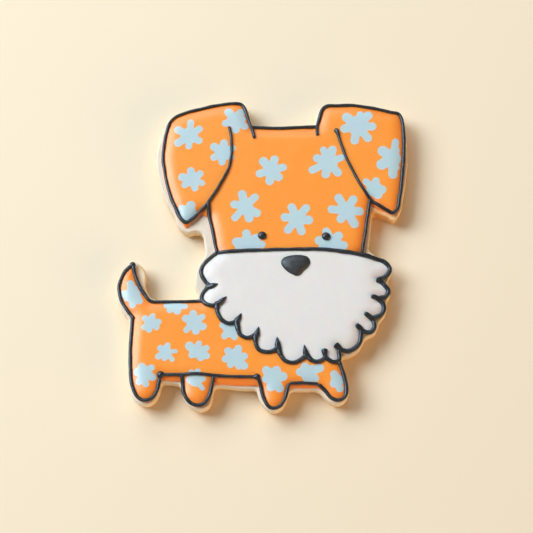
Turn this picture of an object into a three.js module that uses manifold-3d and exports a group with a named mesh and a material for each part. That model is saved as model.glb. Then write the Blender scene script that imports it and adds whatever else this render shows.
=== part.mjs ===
// A decorated sugar cookie in the shape of a terrier, lying face up.
//
// Units are millimetres, +X is the dog's head side, +Y runs from the legs to the
// ears and +Z points up from the table. The baked dough is one flat slab. Three
// flooded icings lie on it, and piped lines, two dot eyes and a nose lie on them.
// Outlines are smooth curves through a few points each, read as places on the
// cookie's face, and every thickness and width is worked out from the values below.

import * as THREE from 'three';
import { mergeVertices } from 'three/addons/utils/BufferGeometryUtils.js';
import Module from 'manifold-3d';

const wasm = await Module();
wasm.setup();

// Dough slab
const DOUGH_THICK = 6.4;
const DOUGH_STEP = 2.3;
const MARGIN_STEP = 1;
const GROW_SLACK = 0.1;
// Its rounded side, as [inset from the widest outline, height]
const DOUGH_SIDE = [[0.95, 0], [0.35, 0.7], [0, 2.6], [0, 4.6], [0.12, 5.9], [0.32, DOUGH_THICK]];

// Flooded icing
const FLOOD_THICK = 1.95;
const FLOOD_LAND = 1.25;
// Its section from the edge inwards, as [inset, height above the dough]
const FLOOD_SIDE = [[0, 0], [0, 0.75], [0.25, 1.15], [1.15, FLOOD_LAND], [2.2, 1.72], [3.6, FLOOD_THICK]];
const FLOOD_STEP = 2;
const BEARD_STEP = 1.25;
const FLOOD_GROW = 0.5;
const BEARD_GROW = 0.3;
const SEAM = 0.35;

// Piped lines
const LINE_WIDTH = 1.25;
const LINE_HEIGHT = 1.0;
const LINE_STEP = 2;
const TICK_TAPER = 3.2;
const END_SCALE = 0.4;
const LINE_SIDES = 5;
const LIFT = 0.1;
const CLEARANCE = 0.3;

// Dots
const EYE_RADIUS = 1.3;
const EYE_HEIGHT = 1.0;
const EYE_SIDES = 18;
const DOT_RINGS = 4;
const DOT_BASE = DOUGH_THICK + FLOOD_THICK + LIFT;
const NOSE_HEIGHT = 1.2;
const NOSE_STEP = 1.3;
const NOSE_SIDE = [[0, 0], [0, 0.35], [0.35, 0.8], [1.1, 1.1], [2.1, NOSE_HEIGHT]];

// The middle of the slab's outline, which becomes the origin
const CENTRE = [0.38, 2.08];

const COLOURS = {
  dough: 0xe9cfa4,
  orange: 0xff9a45,
  white: 0xf1efec,
  charcoal: 0x2f3336,
};

// Left ear: from the free end between the ears, round the ear, to the end over the brow
const EAR_LEFT_ROOT = [[-2.6, 40.5], [-3.2, 42.8]];
const EAR_LEFT_RIM = [
  [-3.9, 45.3], [-4.9, 48], [-5.9, 51.2], [-6.9, 52.9], [-9, 53.3], [-14, 52.7], [-20, 51.4],
  [-25.5, 49.8], [-28.7, 48.4], [-30.5, 46.3], [-31.6, 42], [-32.4, 37], [-32.4, 33], [-31.5, 27],
  [-29.6, 20.5], [-27.3, 15.3], [-25.9, 12.7], [-24.4, 11.7], [-22.7, 12.2], [-20.5, 14.3],
];
const EAR_LEFT_FLAP = [[-18.1, 17.4], [-14, 24.5], [-11.2, 30.2], [-10.2, 35], [-10.2, 40], [-10.9, 44.8]];

// Right ear, the same way round as the left ear: from the brow to the free end
const EAR_RIGHT_FLAP = [[24.4, 43.6], [26.1, 37.4], [28.5, 30.8], [31.8, 24.3], [34.8, 19.6]];
const EAR_RIGHT_RIM = [
  [37.2, 17.5], [40, 15.7], [41.7, 15.1], [43, 15.9], [44.3, 20.5], [45.4, 28], [46.1, 36],
  [46.3, 43], [46.1, 48], [45, 49.7], [42, 50.3], [36, 51.6], [30.5, 52.5], [25, 52.5],
  [21.2, 52.3], [19.7, 51], [18.6, 47.6],
];
const EAR_RIGHT_ROOT = [[17.9, 45], [17.9, 41.5]];

const HEAD_TOP = [[17.9, 45], [11, 44.7], [3, 44.5], [-3.9, 44.8]];
const HEAD_LEFT = [[-17.7, 18.2], [-17.2, 14], [-16.2, 9.5], [-14.9, 3]];
const HEAD_RIGHT = [[32.1, 2.6], [33.2, 9.5], [34, 15], [34.7, 19.4]];

// Beard: the line over the muzzle, then one scallop after another down the right
// side, along the chin and up the left side. Each has the arc and the tick inwards.
const BEARD_TOP = [[-14.5, 1.7], [-9, 2.1], [0, 2.6], [10, 2.8], [20, 2.5], [30, 1.1], [36, -0.4]];
const SCALLOPS = [
  { arc: [[38.8, -1.6], [40.6, -4], [39.6, -6.2], [37.4, -7.5]], tick: [[36.1, -7.6]], blunt: true },
  { arc: [[38.6, -9.2], [40, -11.6], [39.1, -13.5], [37.6, -13.9]], tick: [[36.2, -13.6], [34.4, -13.1]] },
  { arc: [[38.2, -15.6], [38.6, -17.6], [37.5, -19.6], [35.8, -20.3]], tick: [[34.2, -19.8], [32.4, -18.6]] },
  { arc: [[35.1, -21.6], [35.4, -23.3], [34.5, -24.7], [33, -25]], tick: [[31.5, -24.2], [29.6, -22.4]] },
  { arc: [[31.1, -25.6], [30.6, -28.2], [29.1, -30.2], [26.8, -31.1]], tick: [[24.6, -30.4], [22.6, -28.5]] },
  {
    arc: [[24, -31.4], [24, -34], [22.2, -34.5], [20.2, -33.4]],
    tick: [[19.5, -32.2], [19.3, -30.6]],
    blunt: true,
  },
  { arc: [[18.6, -34], [17, -34.6], [15.4, -34.1], [14.2, -32.9]], tick: [[13.4, -31.4], [13, -29.2]] },
  { arc: [[12, -33.9], [9.7, -34.7], [7.3, -34.2], [5.8, -32.4]], tick: [[5, -29.8], [4.8, -26.6]] },
  { arc: [[3.2, -31], [1.1, -31.4], [-0.9, -30.8], [-2, -28.8]], tick: [[-2, -26.3], [-1.1, -23.3]] },
  { arc: [[-3.6, -26.5], [-5.1, -26.7], [-6.9, -25.5], [-7.9, -23]], tick: [[-7.6, -21], [-6.5, -18.9]] },
  { arc: [[-9.1, -22], [-10.7, -22.2], [-12.8, -21], [-14.2, -18.2]], tick: [[-14, -15.9], [-11.2, -13.4]] },
  { arc: [[-15.6, -16.1], [-17.8, -15.6], [-19.3, -14], [-19.2, -12]], tick: [[-17.4, -10], [-13.9, -9.2]] },
  { arc: [[-18.2, -8.3], [-19.7, -5], [-18.7, -2], [-16.6, 0.3]], tick: [] },
];
// The notches where one scallop ends and the next starts, in the same order
const NOTCHES = [
  [37, -7.9], [36.6, -14.1], [34.4, -20.4], [31, -24.2], [24.1, -30.5], [19.7, -33.1], [13.8, -32.5],
  [4.9, -30.1], [-2.1, -25.9], [-7.9, -21.3], [-14.2, -15.7], [-16.9, -9.5],
];
// The scallops that lie on the body rather than at the cookie's edge
const FIRST_ON_BODY = 5;
const LAST_ON_BODY = 11;

// Body
const TAIL_LEFT = [
  [-41.3, -2.3], [-43.3, -3.9], [-44.9, -6.4], [-45.6, -10], [-44.9, -14.1], [-43, -17.5],
  [-40.6, -20.8],
];
const TAIL_RIGHT = [[-35.4, -14.8], [-37.4, -12.6], [-39.2, -9.8], [-40.5, -6.6], [-41.3, -2.3]];
const BACK = [[-19.8, -14.8], [-27, -14.9], [-35.4, -14.8]];
const LEG_1 = [
  [-41.1, -20], [-41.3, -25], [-41.5, -32], [-41.2, -38.5], [-40.3, -43.2], [-38.8, -46],
  [-36.8, -47], [-34.5, -46.3], [-32.9, -44], [-32.2, -40.8], [-31.7, -38.9],
];
const LEG_2 = [
  [-25.1, -38.9], [-24.8, -41.8], [-23.8, -45.3], [-22, -47.6], [-20, -48.4], [-18, -47.8],
  [-16.4, -45.2], [-15.6, -41.5], [-15.2, -39.1],
];
const LEG_3 = [
  [-1.4, -39.8], [-0.5, -42.6], [0.6, -46.7], [1.8, -48.8], [3.4, -49.5], [5.3, -49],
  [6.8, -46.9], [7.8, -43.5], [8.4, -41.6],
];
const BELLY_34 = [[8.4, -41.6], [13, -41.6], [17.4, -41.8]];
const LEG_4 = [
  [17.4, -41.8], [19.2, -44.1], [20.9, -46.2], [23.3, -46.9], [25.5, -45.9], [26.2, -43.3],
  [25.6, -39.8], [24.7, -36.6], [24, -34.4],
];
const BELLY = [[-31.7, -38.8], [-26, -38.7], [-20, -38.5], [-13, -39.2], [-7, -39.6], [-1.4, -39.7]];
const BELLY_BLOBS = [[-31.8, -38.9], [-1.7, -39.6]];
const BLOB_RADIUS = 1.05;
const BLOB_RISE = 0.1;
const BLOB_SIDES = 12;
// The body icing runs on below the belly line, between the legs
const SKIRT_12 = [[-31.5, -40.1], [-28.5, -40.3], [-25.7, -40]];
const SKIRT_23 = [[-14.8, -41.2], [-8, -41.6], [-1.7, -41.6]];
const SKIRT_34 = [[9, -42.8], [13, -42.9], [17, -42.8]];

const EYES = { eye_left: [-0.1, 6.9], eye_right: [20.4, 6.6] };
const NOSE = [
  [6.1, -1.9], [6.6, -3.3], [8, -4.9], [9.6, -5.9], [10.9, -6.4], [12, -6], [13.1, -4.7],
  [14.6, -3.2], [15.1, -1.8], [14.4, -0.2], [12.7, 0.5], [9.2, 0.4], [6.9, -0.4],
];

// How far the dough reaches past the piped lines, and past the icing between the legs
const DOUGH_MARGIN = 1.05;
const SKIRT_MARGIN = 0.5;
// Where it reaches further, each list is spread evenly along its own line
const EAR_LEFT_MARGINS = [1.3, 1.3, 1.2, 1.3, 1.8, 2.4, 2.3, 1.2, 2.7];
const EAR_RIGHT_MARGINS = [2.4, 1.9, 1.1, 1.1, 1.1, 1.1, 1.1, 1.1, 1.5, 1.4, 1.4, 1.5, 1.5];
const HEAD_LEFT_MARGINS = [2.8, 3.1];
const HEAD_RIGHT_MARGINS = [1.8, 1.6, 1.6];
const CHEEK_LEFT_MARGINS = [3, 1.6, 1.8, 3.9, 2.2, 1.4];
const CHEEK_RIGHT_MARGIN = 1.4;
// The cutter bridges the notches between the scallops of the right side
const NOTCH_MARGINS = [3.2, 2.7, 2.3, 2.2, 2.4];
const TAIL_LEFT_MARGINS = [1.2, 1, 1.1, 1.5];
const TAIL_RIGHT_MARGINS = [1.1, 1.3, 1.8, 2.7, 3.5, 1.3];

const vec = ([x, y]) => new THREE.Vector3(x, y, 0);
const flat = (v) => [v.x, v.y];

// Evenly spaced places on a smooth curve through the points
function smooth(points, step, closed = false) {
  const curve = new THREE.CatmullRomCurve3(points.map(vec), closed, 'centripetal');
  const parts = Math.max(2, Math.round(curve.getLength() / step));
  const places = curve.getSpacedPoints(parts).map(flat);
  return closed ? places.slice(0, -1) : places;
}

function distance(a, b) {
  return Math.hypot(a[0] - b[0], a[1] - b[1]);
}

// Outward unit normals of an anticlockwise outline
function outwardNormals(outline) {
  const count = outline.length;
  return outline.map((_, i) => {
    const [ax, ay] = outline[(i + count - 1) % count];
    const [bx, by] = outline[(i + 1) % count];
    const length = Math.hypot(bx - ax, by - ay);
    return [(by - ay) / length, (ax - bx) / length];
  });
}

// A value at a share of the way along a run: one number, or a list spread evenly along it
function spread(values, share) {
  if (!Array.isArray(values)) return values;
  const at = share * (values.length - 1);
  const i = Math.min(Math.floor(at), values.length - 2);
  return THREE.MathUtils.lerp(values[i], values[i + 1], at - i);
}

// Joins runs of { points, grow, step } into one outline and moves each place outwards by
// its grow. A place that another stretch grows past is dropped, which cleans inward corners.
function joinRuns(runs) {
  const places = [];
  const grows = [];
  for (const { points, grow, step = FLOOD_STEP } of runs) {
    const run = smooth(points, step);
    run.forEach((place, i) => {
      if (places.length && distance(place, places[places.length - 1]) < 0.5 * step) return;
      places.push(place);
      grows.push(spread(grow, i / (run.length - 1)));
    });
  }
  if (distance(places[0], places[places.length - 1]) < 0.5 * BEARD_STEP) {
    places.pop();
    grows.pop();
  }
  const normals = outwardNormals(places);
  const grown = places.map(([x, y], i) => [x + normals[i][0] * grows[i], y + normals[i][1] * grows[i]]);
  return grown.filter((place) => places.every((other, i) => distance(place, other) > grows[i] - GROW_SLACK));
}

// How far each place can move inwards: the radius of the largest circle that touches it from inside
function insetRoom(outline, normals) {
  return outline.map(([x, y], i) => {
    let room = Infinity;
    outline.forEach(([qx, qy], j) => {
      if (i === j) return;
      const inward = -normals[i][0] * (qx - x) - normals[i][1] * (qy - y);
      if (inward > 1e-6) room = Math.min(room, ((qx - x) ** 2 + (qy - y) ** 2) / (2 * inward));
    });
    return room;
  });
}

// Straight-line value of a [inset, height] section at an inset
function sectionHeight(section, inset) {
  for (let i = 1; i < section.length; i += 1) {
    const [a, b] = [section[i - 1], section[i]];
    if (inset <= b[0] && b[0] > a[0]) return a[1] + ((inset - a[0]) / (b[0] - a[0])) * (b[1] - a[1]);
  }
  return section[section.length - 1][1];
}

// A closed slab whose side follows a section of [inset, height]. Where the outline is too
// narrow for the whole inset, the place stops there, as low as it got if it slopes.
function layered(outline, section, base, slopes = false) {
  const normals = outwardNormals(outline);
  const room = insetRoom(outline, normals);
  const rings = section.map(([inset, height]) => outline.map(([x, y], i) => {
    const reach = Math.min(inset, 0.9 * room[i]);
    const rise = slopes && reach < inset ? sectionHeight(section, reach) : height;
    return [x - normals[i][0] * reach, y - normals[i][1] * reach, base + rise];
  }));
  const count = outline.length;
  const positions = rings.flat(2);
  const indices = [];
  for (let r = 0; r + 1 < rings.length; r += 1) {
    for (let i = 0; i < count; i += 1) {
      const [a, b] = [r * count + i, r * count + ((i + 1) % count)];
      indices.push(a, b, b + count, a, b + count, a + count);
    }
  }
  const corner = ([x, y]) => new THREE.Vector2(x, y);
  const faces = (ring) => THREE.ShapeUtils.triangulateShape(ring.map(corner), []);
  const top = positions.length / 3 - count;
  for (const [a, b, c] of faces(rings[0])) indices.push(a, c, b);
  for (const face of faces(rings[rings.length - 1])) indices.push(...face.map((k) => k + top));
  return closedGeometry(positions, indices);
}

function closedGeometry(positions, indices) {
  const geometry = new THREE.BufferGeometry();
  geometry.setAttribute('position', new THREE.Float32BufferAttribute(positions, 3));
  geometry.setIndex(indices);
  return mergeVertices(geometry, 1e-5);
}

function toManifold(geometry) {
  const vertProperties = new Float32Array(geometry.attributes.position.array);
  const triVerts = new Uint32Array(geometry.index.array);
  return new wasm.Manifold(new wasm.Mesh({ numProp: 3, vertProperties, triVerts }));
}

function fromManifold(solid) {
  const mesh = solid.getMesh();
  const geometry = new THREE.BufferGeometry();
  geometry.setAttribute('position', new THREE.Float32BufferAttribute(mesh.vertProperties, 3));
  geometry.setIndex(Array.from(mesh.triVerts));
  return geometry;
}

function joined(geometries) {
  return fromManifold(geometries.map(toManifold).reduce((all, next) => all.add(next)));
}

// Scallop i runs from one notch to the next, with the beard's own corner at the very end
function scallopRun(i) {
  const start = i > 0 ? [NOTCHES[i - 1]] : [];
  const end = i < NOTCHES.length ? [NOTCHES[i]] : [BEARD_TOP[0]];
  return [...start, ...SCALLOPS[i].arc, ...end];
}

// The flooded areas, all anticlockwise
const beardOutline = joinRuns([
  ...SCALLOPS.map((_, i) => scallopRun(i).reverse()).reverse(),
  [...BEARD_TOP].reverse(),
].map((points) => ({ points, grow: BEARD_GROW, step: BEARD_STEP })));

const headOutline = joinRuns([
  { points: BEARD_TOP.slice(0, -1), grow: -BEARD_GROW - SEAM },
  { points: HEAD_RIGHT, grow: FLOOD_GROW },
  { points: EAR_RIGHT_RIM, grow: FLOOD_GROW },
  { points: HEAD_TOP, grow: FLOOD_GROW },
  { points: EAR_LEFT_RIM, grow: FLOOD_GROW },
  { points: HEAD_LEFT, grow: FLOOD_GROW },
]);

// The body's edge along the beard, from the front leg's line to the back's line. It
// cuts across the notches, where the lines of two scallops cover the dough.
const chin = SCALLOPS.slice(FIRST_ON_BODY, LAST_ON_BODY + 1).flatMap(({ arc }) => arc).slice(1, -1);

const bodyOutline = joinRuns([
  { points: LEG_1.slice(0, -2), grow: FLOOD_GROW },
  { points: SKIRT_12, grow: 0 },
  { points: LEG_2.slice(1, -1), grow: FLOOD_GROW },
  { points: SKIRT_23, grow: 0 },
  { points: LEG_3.slice(1, -1), grow: FLOOD_GROW },
  { points: SKIRT_34, grow: 0 },
  { points: LEG_4.slice(1), grow: FLOOD_GROW },
  { points: chin, grow: -BEARD_GROW - SEAM, step: BEARD_STEP },
  { points: BACK, grow: FLOOD_GROW },
  { points: TAIL_RIGHT, grow: FLOOD_GROW },
  { points: TAIL_LEFT.slice(0, -1), grow: FLOOD_GROW },
]);

// The dough follows the outermost lines, and the icing's edge between the legs
const cheekLeft = [
  ...scallopRun(LAST_ON_BODY + 1).reverse(),
  ...scallopRun(LAST_ON_BODY).slice(-3, -1).reverse(),
];
const cheekRight = NOTCH_MARGINS.map((margin, i) => ({
  points: scallopRun(i).reverse(),
  grow: [margin, DOUGH_MARGIN, DOUGH_MARGIN, i > 0 ? NOTCH_MARGINS[i - 1] : CHEEK_RIGHT_MARGIN],
})).reverse();
const doughOutline = joinRuns([
  { points: LEG_1.slice(0, -2), grow: DOUGH_MARGIN },
  { points: SKIRT_12, grow: SKIRT_MARGIN },
  { points: LEG_2.slice(1, -1), grow: DOUGH_MARGIN },
  { points: SKIRT_23, grow: SKIRT_MARGIN },
  { points: LEG_3.slice(1, -1), grow: DOUGH_MARGIN },
  { points: SKIRT_34, grow: SKIRT_MARGIN },
  { points: LEG_4.slice(1), grow: DOUGH_MARGIN },
  ...cheekRight,
  { points: [SCALLOPS[0].arc[0], BEARD_TOP[BEARD_TOP.length - 1]], grow: CHEEK_RIGHT_MARGIN },
  { points: HEAD_RIGHT, grow: HEAD_RIGHT_MARGINS },
  { points: EAR_RIGHT_RIM, grow: EAR_RIGHT_MARGINS },
  { points: HEAD_TOP, grow: DOUGH_MARGIN },
  { points: EAR_LEFT_RIM, grow: EAR_LEFT_MARGINS },
  { points: HEAD_LEFT.slice(2), grow: HEAD_LEFT_MARGINS },
  { points: cheekLeft, grow: CHEEK_LEFT_MARGINS },
  { points: BACK, grow: DOUGH_MARGIN },
  { points: TAIL_RIGHT, grow: TAIL_RIGHT_MARGINS },
  { points: TAIL_LEFT.slice(0, -1), grow: TAIL_LEFT_MARGINS },
].map((run) => ({ ...run, step: MARGIN_STEP })));

const floods = {
  icing_head: layered(headOutline, FLOOD_SIDE, DOUGH_THICK, true),
  icing_beard: layered(beardOutline, FLOOD_SIDE, DOUGH_THICK, true),
  icing_body: layered(bodyOutline, FLOOD_SIDE, DOUGH_THICK, true),
};

// The icing's triangles that face up, as corners with a bounding box
const upper = Object.values(floods).flatMap((geometry) => {
  const { array } = geometry.attributes.position;
  const corner = (i) => [array[3 * i], array[3 * i + 1], array[3 * i + 2]];
  const index = Array.from(geometry.index.array);
  const triangles = [];
  for (let i = 0; i < index.length; i += 3) {
    const [a, b, c] = [corner(index[i]), corner(index[i + 1]), corner(index[i + 2])];
    const area = (b[0] - a[0]) * (c[1] - a[1]) - (b[1] - a[1]) * (c[0] - a[0]);
    const [lowX, highX] = [Math.min(a[0], b[0], c[0]), Math.max(a[0], b[0], c[0])];
    const [lowY, highY] = [Math.min(a[1], b[1], c[1]), Math.max(a[1], b[1], c[1])];
    if (area > 1e-6) triangles.push({ a, b, c, area, lowX, highX, lowY, highY });
  }
  return triangles;
});

// Height of whatever lies at a place: dough, or the icing on it
function surfaceHeight([x, y]) {
  let height = DOUGH_THICK;
  for (const { a, b, c, area, lowX, highX, lowY, highY } of upper) {
    if (x < lowX || x > highX || y < lowY || y > highY) continue;
    const shareB = ((x - a[0]) * (c[1] - a[1]) - (y - a[1]) * (c[0] - a[0])) / area;
    const shareC = ((b[0] - a[0]) * (y - a[1]) - (b[1] - a[1]) * (x - a[0])) / area;
    if (shareB < 0 || shareC < 0 || shareB + shareC > 1) continue;
    height = Math.max(height, a[2] + shareB * (b[2] - a[2]) + shareC * (c[2] - a[2]));
  }
  return height;
}

// Highest surface under a stretch of line, so that the line rests on it and never cuts in
function restHeight([x, y], [nx, ny], halfWidth) {
  let height = 0;
  for (const across of [-1, -0.5, 0, 0.5, 1]) {
    for (const along of [-0.5, -0.25, 0, 0.25, 0.5]) {
      const dx = nx * across * halfWidth - ny * along * LINE_STEP;
      const dy = ny * across * halfWidth + nx * along * LINE_STEP;
      height = Math.max(height, surfaceHeight([x + dx, y + dy]));
    }
  }
  return height + LIFT;
}

// How full a line is at a distance from its end: round like a dome, or drawn out to a point
function endScale(fromEnd, taper) {
  const reach = Math.min(fromEnd / taper, 1);
  const roundness = taper > LINE_WIDTH ? reach : Math.sqrt(1 - (1 - reach) ** 2);
  return END_SCALE + (1 - END_SCALE) * roundness;
}

// A piped line: a half-round bead with a flat underside along a smooth curve. The bead
// can be made wider and deeper all over, to cut room for it out of another one.
function bead(points, { endTaper = LINE_WIDTH / 2, room = 0 } = {}) {
  const curve = smooth(points, LINE_STEP);
  const nearEnd = (a, b, amount) => [a[0] + (b[0] - a[0]) * amount, a[1] + (b[1] - a[1]) * amount];
  const last = curve.length - 1;
  const places = [
    curve[0], nearEnd(curve[0], curve[1], 0.25), ...curve.slice(1, last),
    nearEnd(curve[last], curve[last - 1], 0.25), curve[last],
  ];
  const travelled = [0];
  places.slice(1).forEach((place, i) => travelled.push(travelled[i] + distance(places[i], place)));
  const length = travelled[places.length - 1];
  const positions = [];
  places.forEach((place, i) => {
    const [a, b] = [places[Math.max(i - 1, 0)], places[Math.min(i + 1, places.length - 1)]];
    const span = distance(a, b);
    const side = [(a[1] - b[1]) / span, (b[0] - a[0]) / span];
    const full = Math.min(endScale(travelled[i], LINE_WIDTH / 2), endScale(length - travelled[i], endTaper));
    const [halfWidth, height] = [(full * LINE_WIDTH) / 2 + room, full * LINE_HEIGHT + room];
    const base = restHeight(place, side, halfWidth) - room;
    for (let k = 0; k <= LINE_SIDES; k += 1) {
      const turn = (Math.PI * k) / LINE_SIDES;
      const [across, rise] = [halfWidth * Math.cos(turn), height * Math.sin(turn)];
      positions.push(place[0] + side[0] * across, place[1] + side[1] * across, base + rise);
    }
  });
  const ring = LINE_SIDES + 1;
  const indices = [];
  for (let i = 0; i + 1 < places.length; i += 1) {
    for (let k = 0; k < ring; k += 1) {
      const [a, b] = [i * ring + k, i * ring + ((k + 1) % ring)];
      indices.push(a, b, b + ring, a, b + ring, a + ring);
    }
  }
  const end = (places.length - 1) * ring;
  for (let k = 1; k + 1 < ring; k += 1) indices.push(0, k + 1, k, end, end + k, end + k + 1);
  return closedGeometry(positions, indices);
}

// A low round dot that stands on the flat of the icing
function dome([x, y], radius, height, sides) {
  const profile = [new THREE.Vector2(0, 0)];
  for (let k = 0; k < DOT_RINGS; k += 1) {
    const turn = (Math.PI / 2) * (k / DOT_RINGS);
    profile.push(new THREE.Vector2(radius * Math.cos(turn), height * Math.sin(turn)));
  }
  profile.push(new THREE.Vector2(0, height));
  const geometry = new THREE.LatheGeometry(profile, sides);
  geometry.deleteAttribute('normal');
  geometry.deleteAttribute('uv');
  geometry.rotateX(Math.PI / 2);
  geometry.translate(x, y, DOT_BASE);
  return mergeVertices(geometry, 1e-4);
}

const HEAD_LINES = [
  [...EAR_LEFT_ROOT, ...EAR_LEFT_RIM, ...EAR_LEFT_FLAP],
  [...EAR_RIGHT_FLAP, ...EAR_RIGHT_RIM, ...EAR_RIGHT_ROOT],
  HEAD_TOP,
  HEAD_LEFT,
  HEAD_RIGHT,
];
const BODY_LINES = [
  LEG_1, LEG_2, LEG_3, BELLY_34, LEG_4, BELLY,
  [...BACK, ...TAIL_RIGHT.slice(1)],
  TAIL_LEFT,
];

// The beard's lines, each scallop drawn out into its tick unless it ends blunt
function beardBeads(room) {
  const beads = SCALLOPS.map(({ arc, tick, blunt }, i) => {
    const start = i > 0 ? [NOTCHES[i - 1]] : BEARD_TOP;
    const end = tick.length ? [NOTCHES[i], ...tick] : [BEARD_TOP[0]];
    const endTaper = blunt || !tick.length ? LINE_WIDTH / 2 : TICK_TAPER;
    return bead([...start, ...arc, ...end], { endTaper, room });
  });
  return joined(beads);
}

function cutClear(geometry, cutter) {
  return fromManifold(toManifold(geometry).subtract(toManifold(cutter)));
}

const beardRoom = beardBeads(CLEARANCE);
const headBeads = joined(HEAD_LINES.map((line) => bead(line)));
const bodyBeads = joined([
  ...BODY_LINES.map((line) => bead(line)),
  ...BELLY_BLOBS.map((place) => dome(place, BLOB_RADIUS, LINE_HEIGHT + BLOB_RISE, BLOB_SIDES)),
]);

const finishes = {
  dough: new THREE.MeshStandardMaterial({ color: COLOURS.dough, roughness: 0.85, metalness: 0 }),
  orange: new THREE.MeshStandardMaterial({ color: COLOURS.orange, roughness: 0.42, metalness: 0 }),
  white: new THREE.MeshStandardMaterial({ color: COLOURS.white, roughness: 0.45, metalness: 0 }),
  charcoal: new THREE.MeshStandardMaterial({ color: COLOURS.charcoal, roughness: 0.38, metalness: 0 }),
};

const cookie = new THREE.Group();
cookie.position.set(-CENTRE[0], -CENTRE[1], 0);

function addPiece(name, geometry, finish) {
  const mesh = new THREE.Mesh(geometry, finishes[finish].clone());
  mesh.name = name;
  cookie.add(mesh);
}

addPiece('dough', layered(smooth(doughOutline, DOUGH_STEP, true), DOUGH_SIDE, 0), 'dough');
addPiece('icing_head', floods.icing_head, 'orange');
addPiece('icing_beard', floods.icing_beard, 'white');
addPiece('icing_body', floods.icing_body, 'orange');
addPiece('lines_head', cutClear(headBeads, beardRoom), 'charcoal');
addPiece('lines_beard', beardBeads(0), 'charcoal');
addPiece('lines_body', cutClear(bodyBeads, beardRoom), 'charcoal');
for (const [name, place] of Object.entries(EYES)) {
  addPiece(name, dome(place, EYE_RADIUS, EYE_HEIGHT, EYE_SIDES), 'charcoal');
}
addPiece('nose', layered(smooth(NOSE, NOSE_STEP, true), NOSE_SIDE, DOT_BASE), 'charcoal');

export default cookie;
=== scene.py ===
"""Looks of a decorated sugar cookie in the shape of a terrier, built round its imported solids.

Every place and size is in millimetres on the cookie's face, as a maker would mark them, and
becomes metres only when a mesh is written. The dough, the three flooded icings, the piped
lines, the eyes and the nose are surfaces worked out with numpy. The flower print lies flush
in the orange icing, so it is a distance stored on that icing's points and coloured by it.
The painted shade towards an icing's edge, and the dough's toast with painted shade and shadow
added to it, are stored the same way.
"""

import logging
import math
from collections.abc import Callable
from dataclasses import dataclass, field
from enum import Enum

import bpy
import numpy as np
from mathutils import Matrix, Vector
from mathutils.geometry import delaunay_2d_cdt


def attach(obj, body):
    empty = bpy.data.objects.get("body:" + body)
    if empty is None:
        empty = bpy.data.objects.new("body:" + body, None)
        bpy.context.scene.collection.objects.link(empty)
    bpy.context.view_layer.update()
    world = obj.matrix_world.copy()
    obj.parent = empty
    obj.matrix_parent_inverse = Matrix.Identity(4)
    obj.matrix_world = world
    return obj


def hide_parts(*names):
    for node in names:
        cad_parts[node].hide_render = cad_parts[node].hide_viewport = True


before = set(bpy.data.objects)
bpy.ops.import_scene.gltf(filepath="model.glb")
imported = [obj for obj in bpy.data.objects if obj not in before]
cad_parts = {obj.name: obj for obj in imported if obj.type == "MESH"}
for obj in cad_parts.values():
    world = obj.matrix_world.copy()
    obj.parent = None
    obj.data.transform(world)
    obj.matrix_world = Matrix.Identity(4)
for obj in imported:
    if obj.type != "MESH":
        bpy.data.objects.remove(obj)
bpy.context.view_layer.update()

LOG = logging.getLogger("cookie")
MM = 0.001

Pair = tuple[float, float]
Colour = tuple[float, float, float, float]

# The middle of the dough's outline, which is the frame's origin
CENTRE = np.array([0.38, 2.08])
DOUGH_TOP = 6.4

# Left ear: from the free end between the ears, round the ear, to the end over the brow
EAR_LEFT_ROOT = [[-2.6, 40.5], [-3.2, 42.8]]
EAR_LEFT_RIM = [
    [-3.9, 45.3], [-4.9, 48], [-5.9, 51.2], [-6.9, 52.9], [-9, 53.3], [-14, 52.7], [-20, 51.4],
    [-25.5, 49.8], [-28.7, 48.4], [-30.5, 46.3], [-31.6, 42], [-32.4, 37], [-32.4, 33], [-31.5, 27],
    [-29.7, 20.5], [-27.5, 15.3], [-26, 12.45], [-24.5, 11.6], [-22.7, 12.75], [-20.4, 15.2],
]
EAR_LEFT_FLAP = [[-17.9, 17.75], [-13.9, 24.2], [-11, 30.2], [-10.2, 35], [-10.2, 40], [-10.9, 44.8]]

# Right ear, the same way round as the left ear: from the brow to the free end
EAR_RIGHT_FLAP = [[24.2, 43.6], [25.95, 37.4], [28.5, 30.8], [31.8, 24.3], [34.8, 19.6]]
EAR_RIGHT_RIM = [
    [37.3, 17.7], [40.2, 15.8], [42, 15.0], [43.3, 15.9], [44.4, 20.5], [45.4, 28], [46.1, 36],
    [46.2, 43], [45.7, 47.7], [44.7, 49.5], [42, 50.2], [36, 51.6], [30.5, 52.5], [25, 52.5],
    [21.2, 52.3], [19.7, 51], [18.6, 47.6],
]
EAR_RIGHT_ROOT = [[17.9, 45], [17.9, 41.5]]

# The left ear's icing shows beyond its line between the ear and the head
EAR_LEFT_WEB = [[-20.2, 15], [-18.4, 14.1]]

HEAD_TOP = [[17.9, 45], [11, 44.7], [3, 44.5], [-3.9, 44.8]]
HEAD_LEFT = [[-17.5, 18.2], [-17.2, 14], [-16.2, 9.5], [-14.9, 3]]
HEAD_RIGHT = [[32.1, 2.6], [33.2, 9.5], [34, 15], [34.7, 19.4]]
HEAD_RIGHT_FOOT = [31.9, 1.0]

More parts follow.
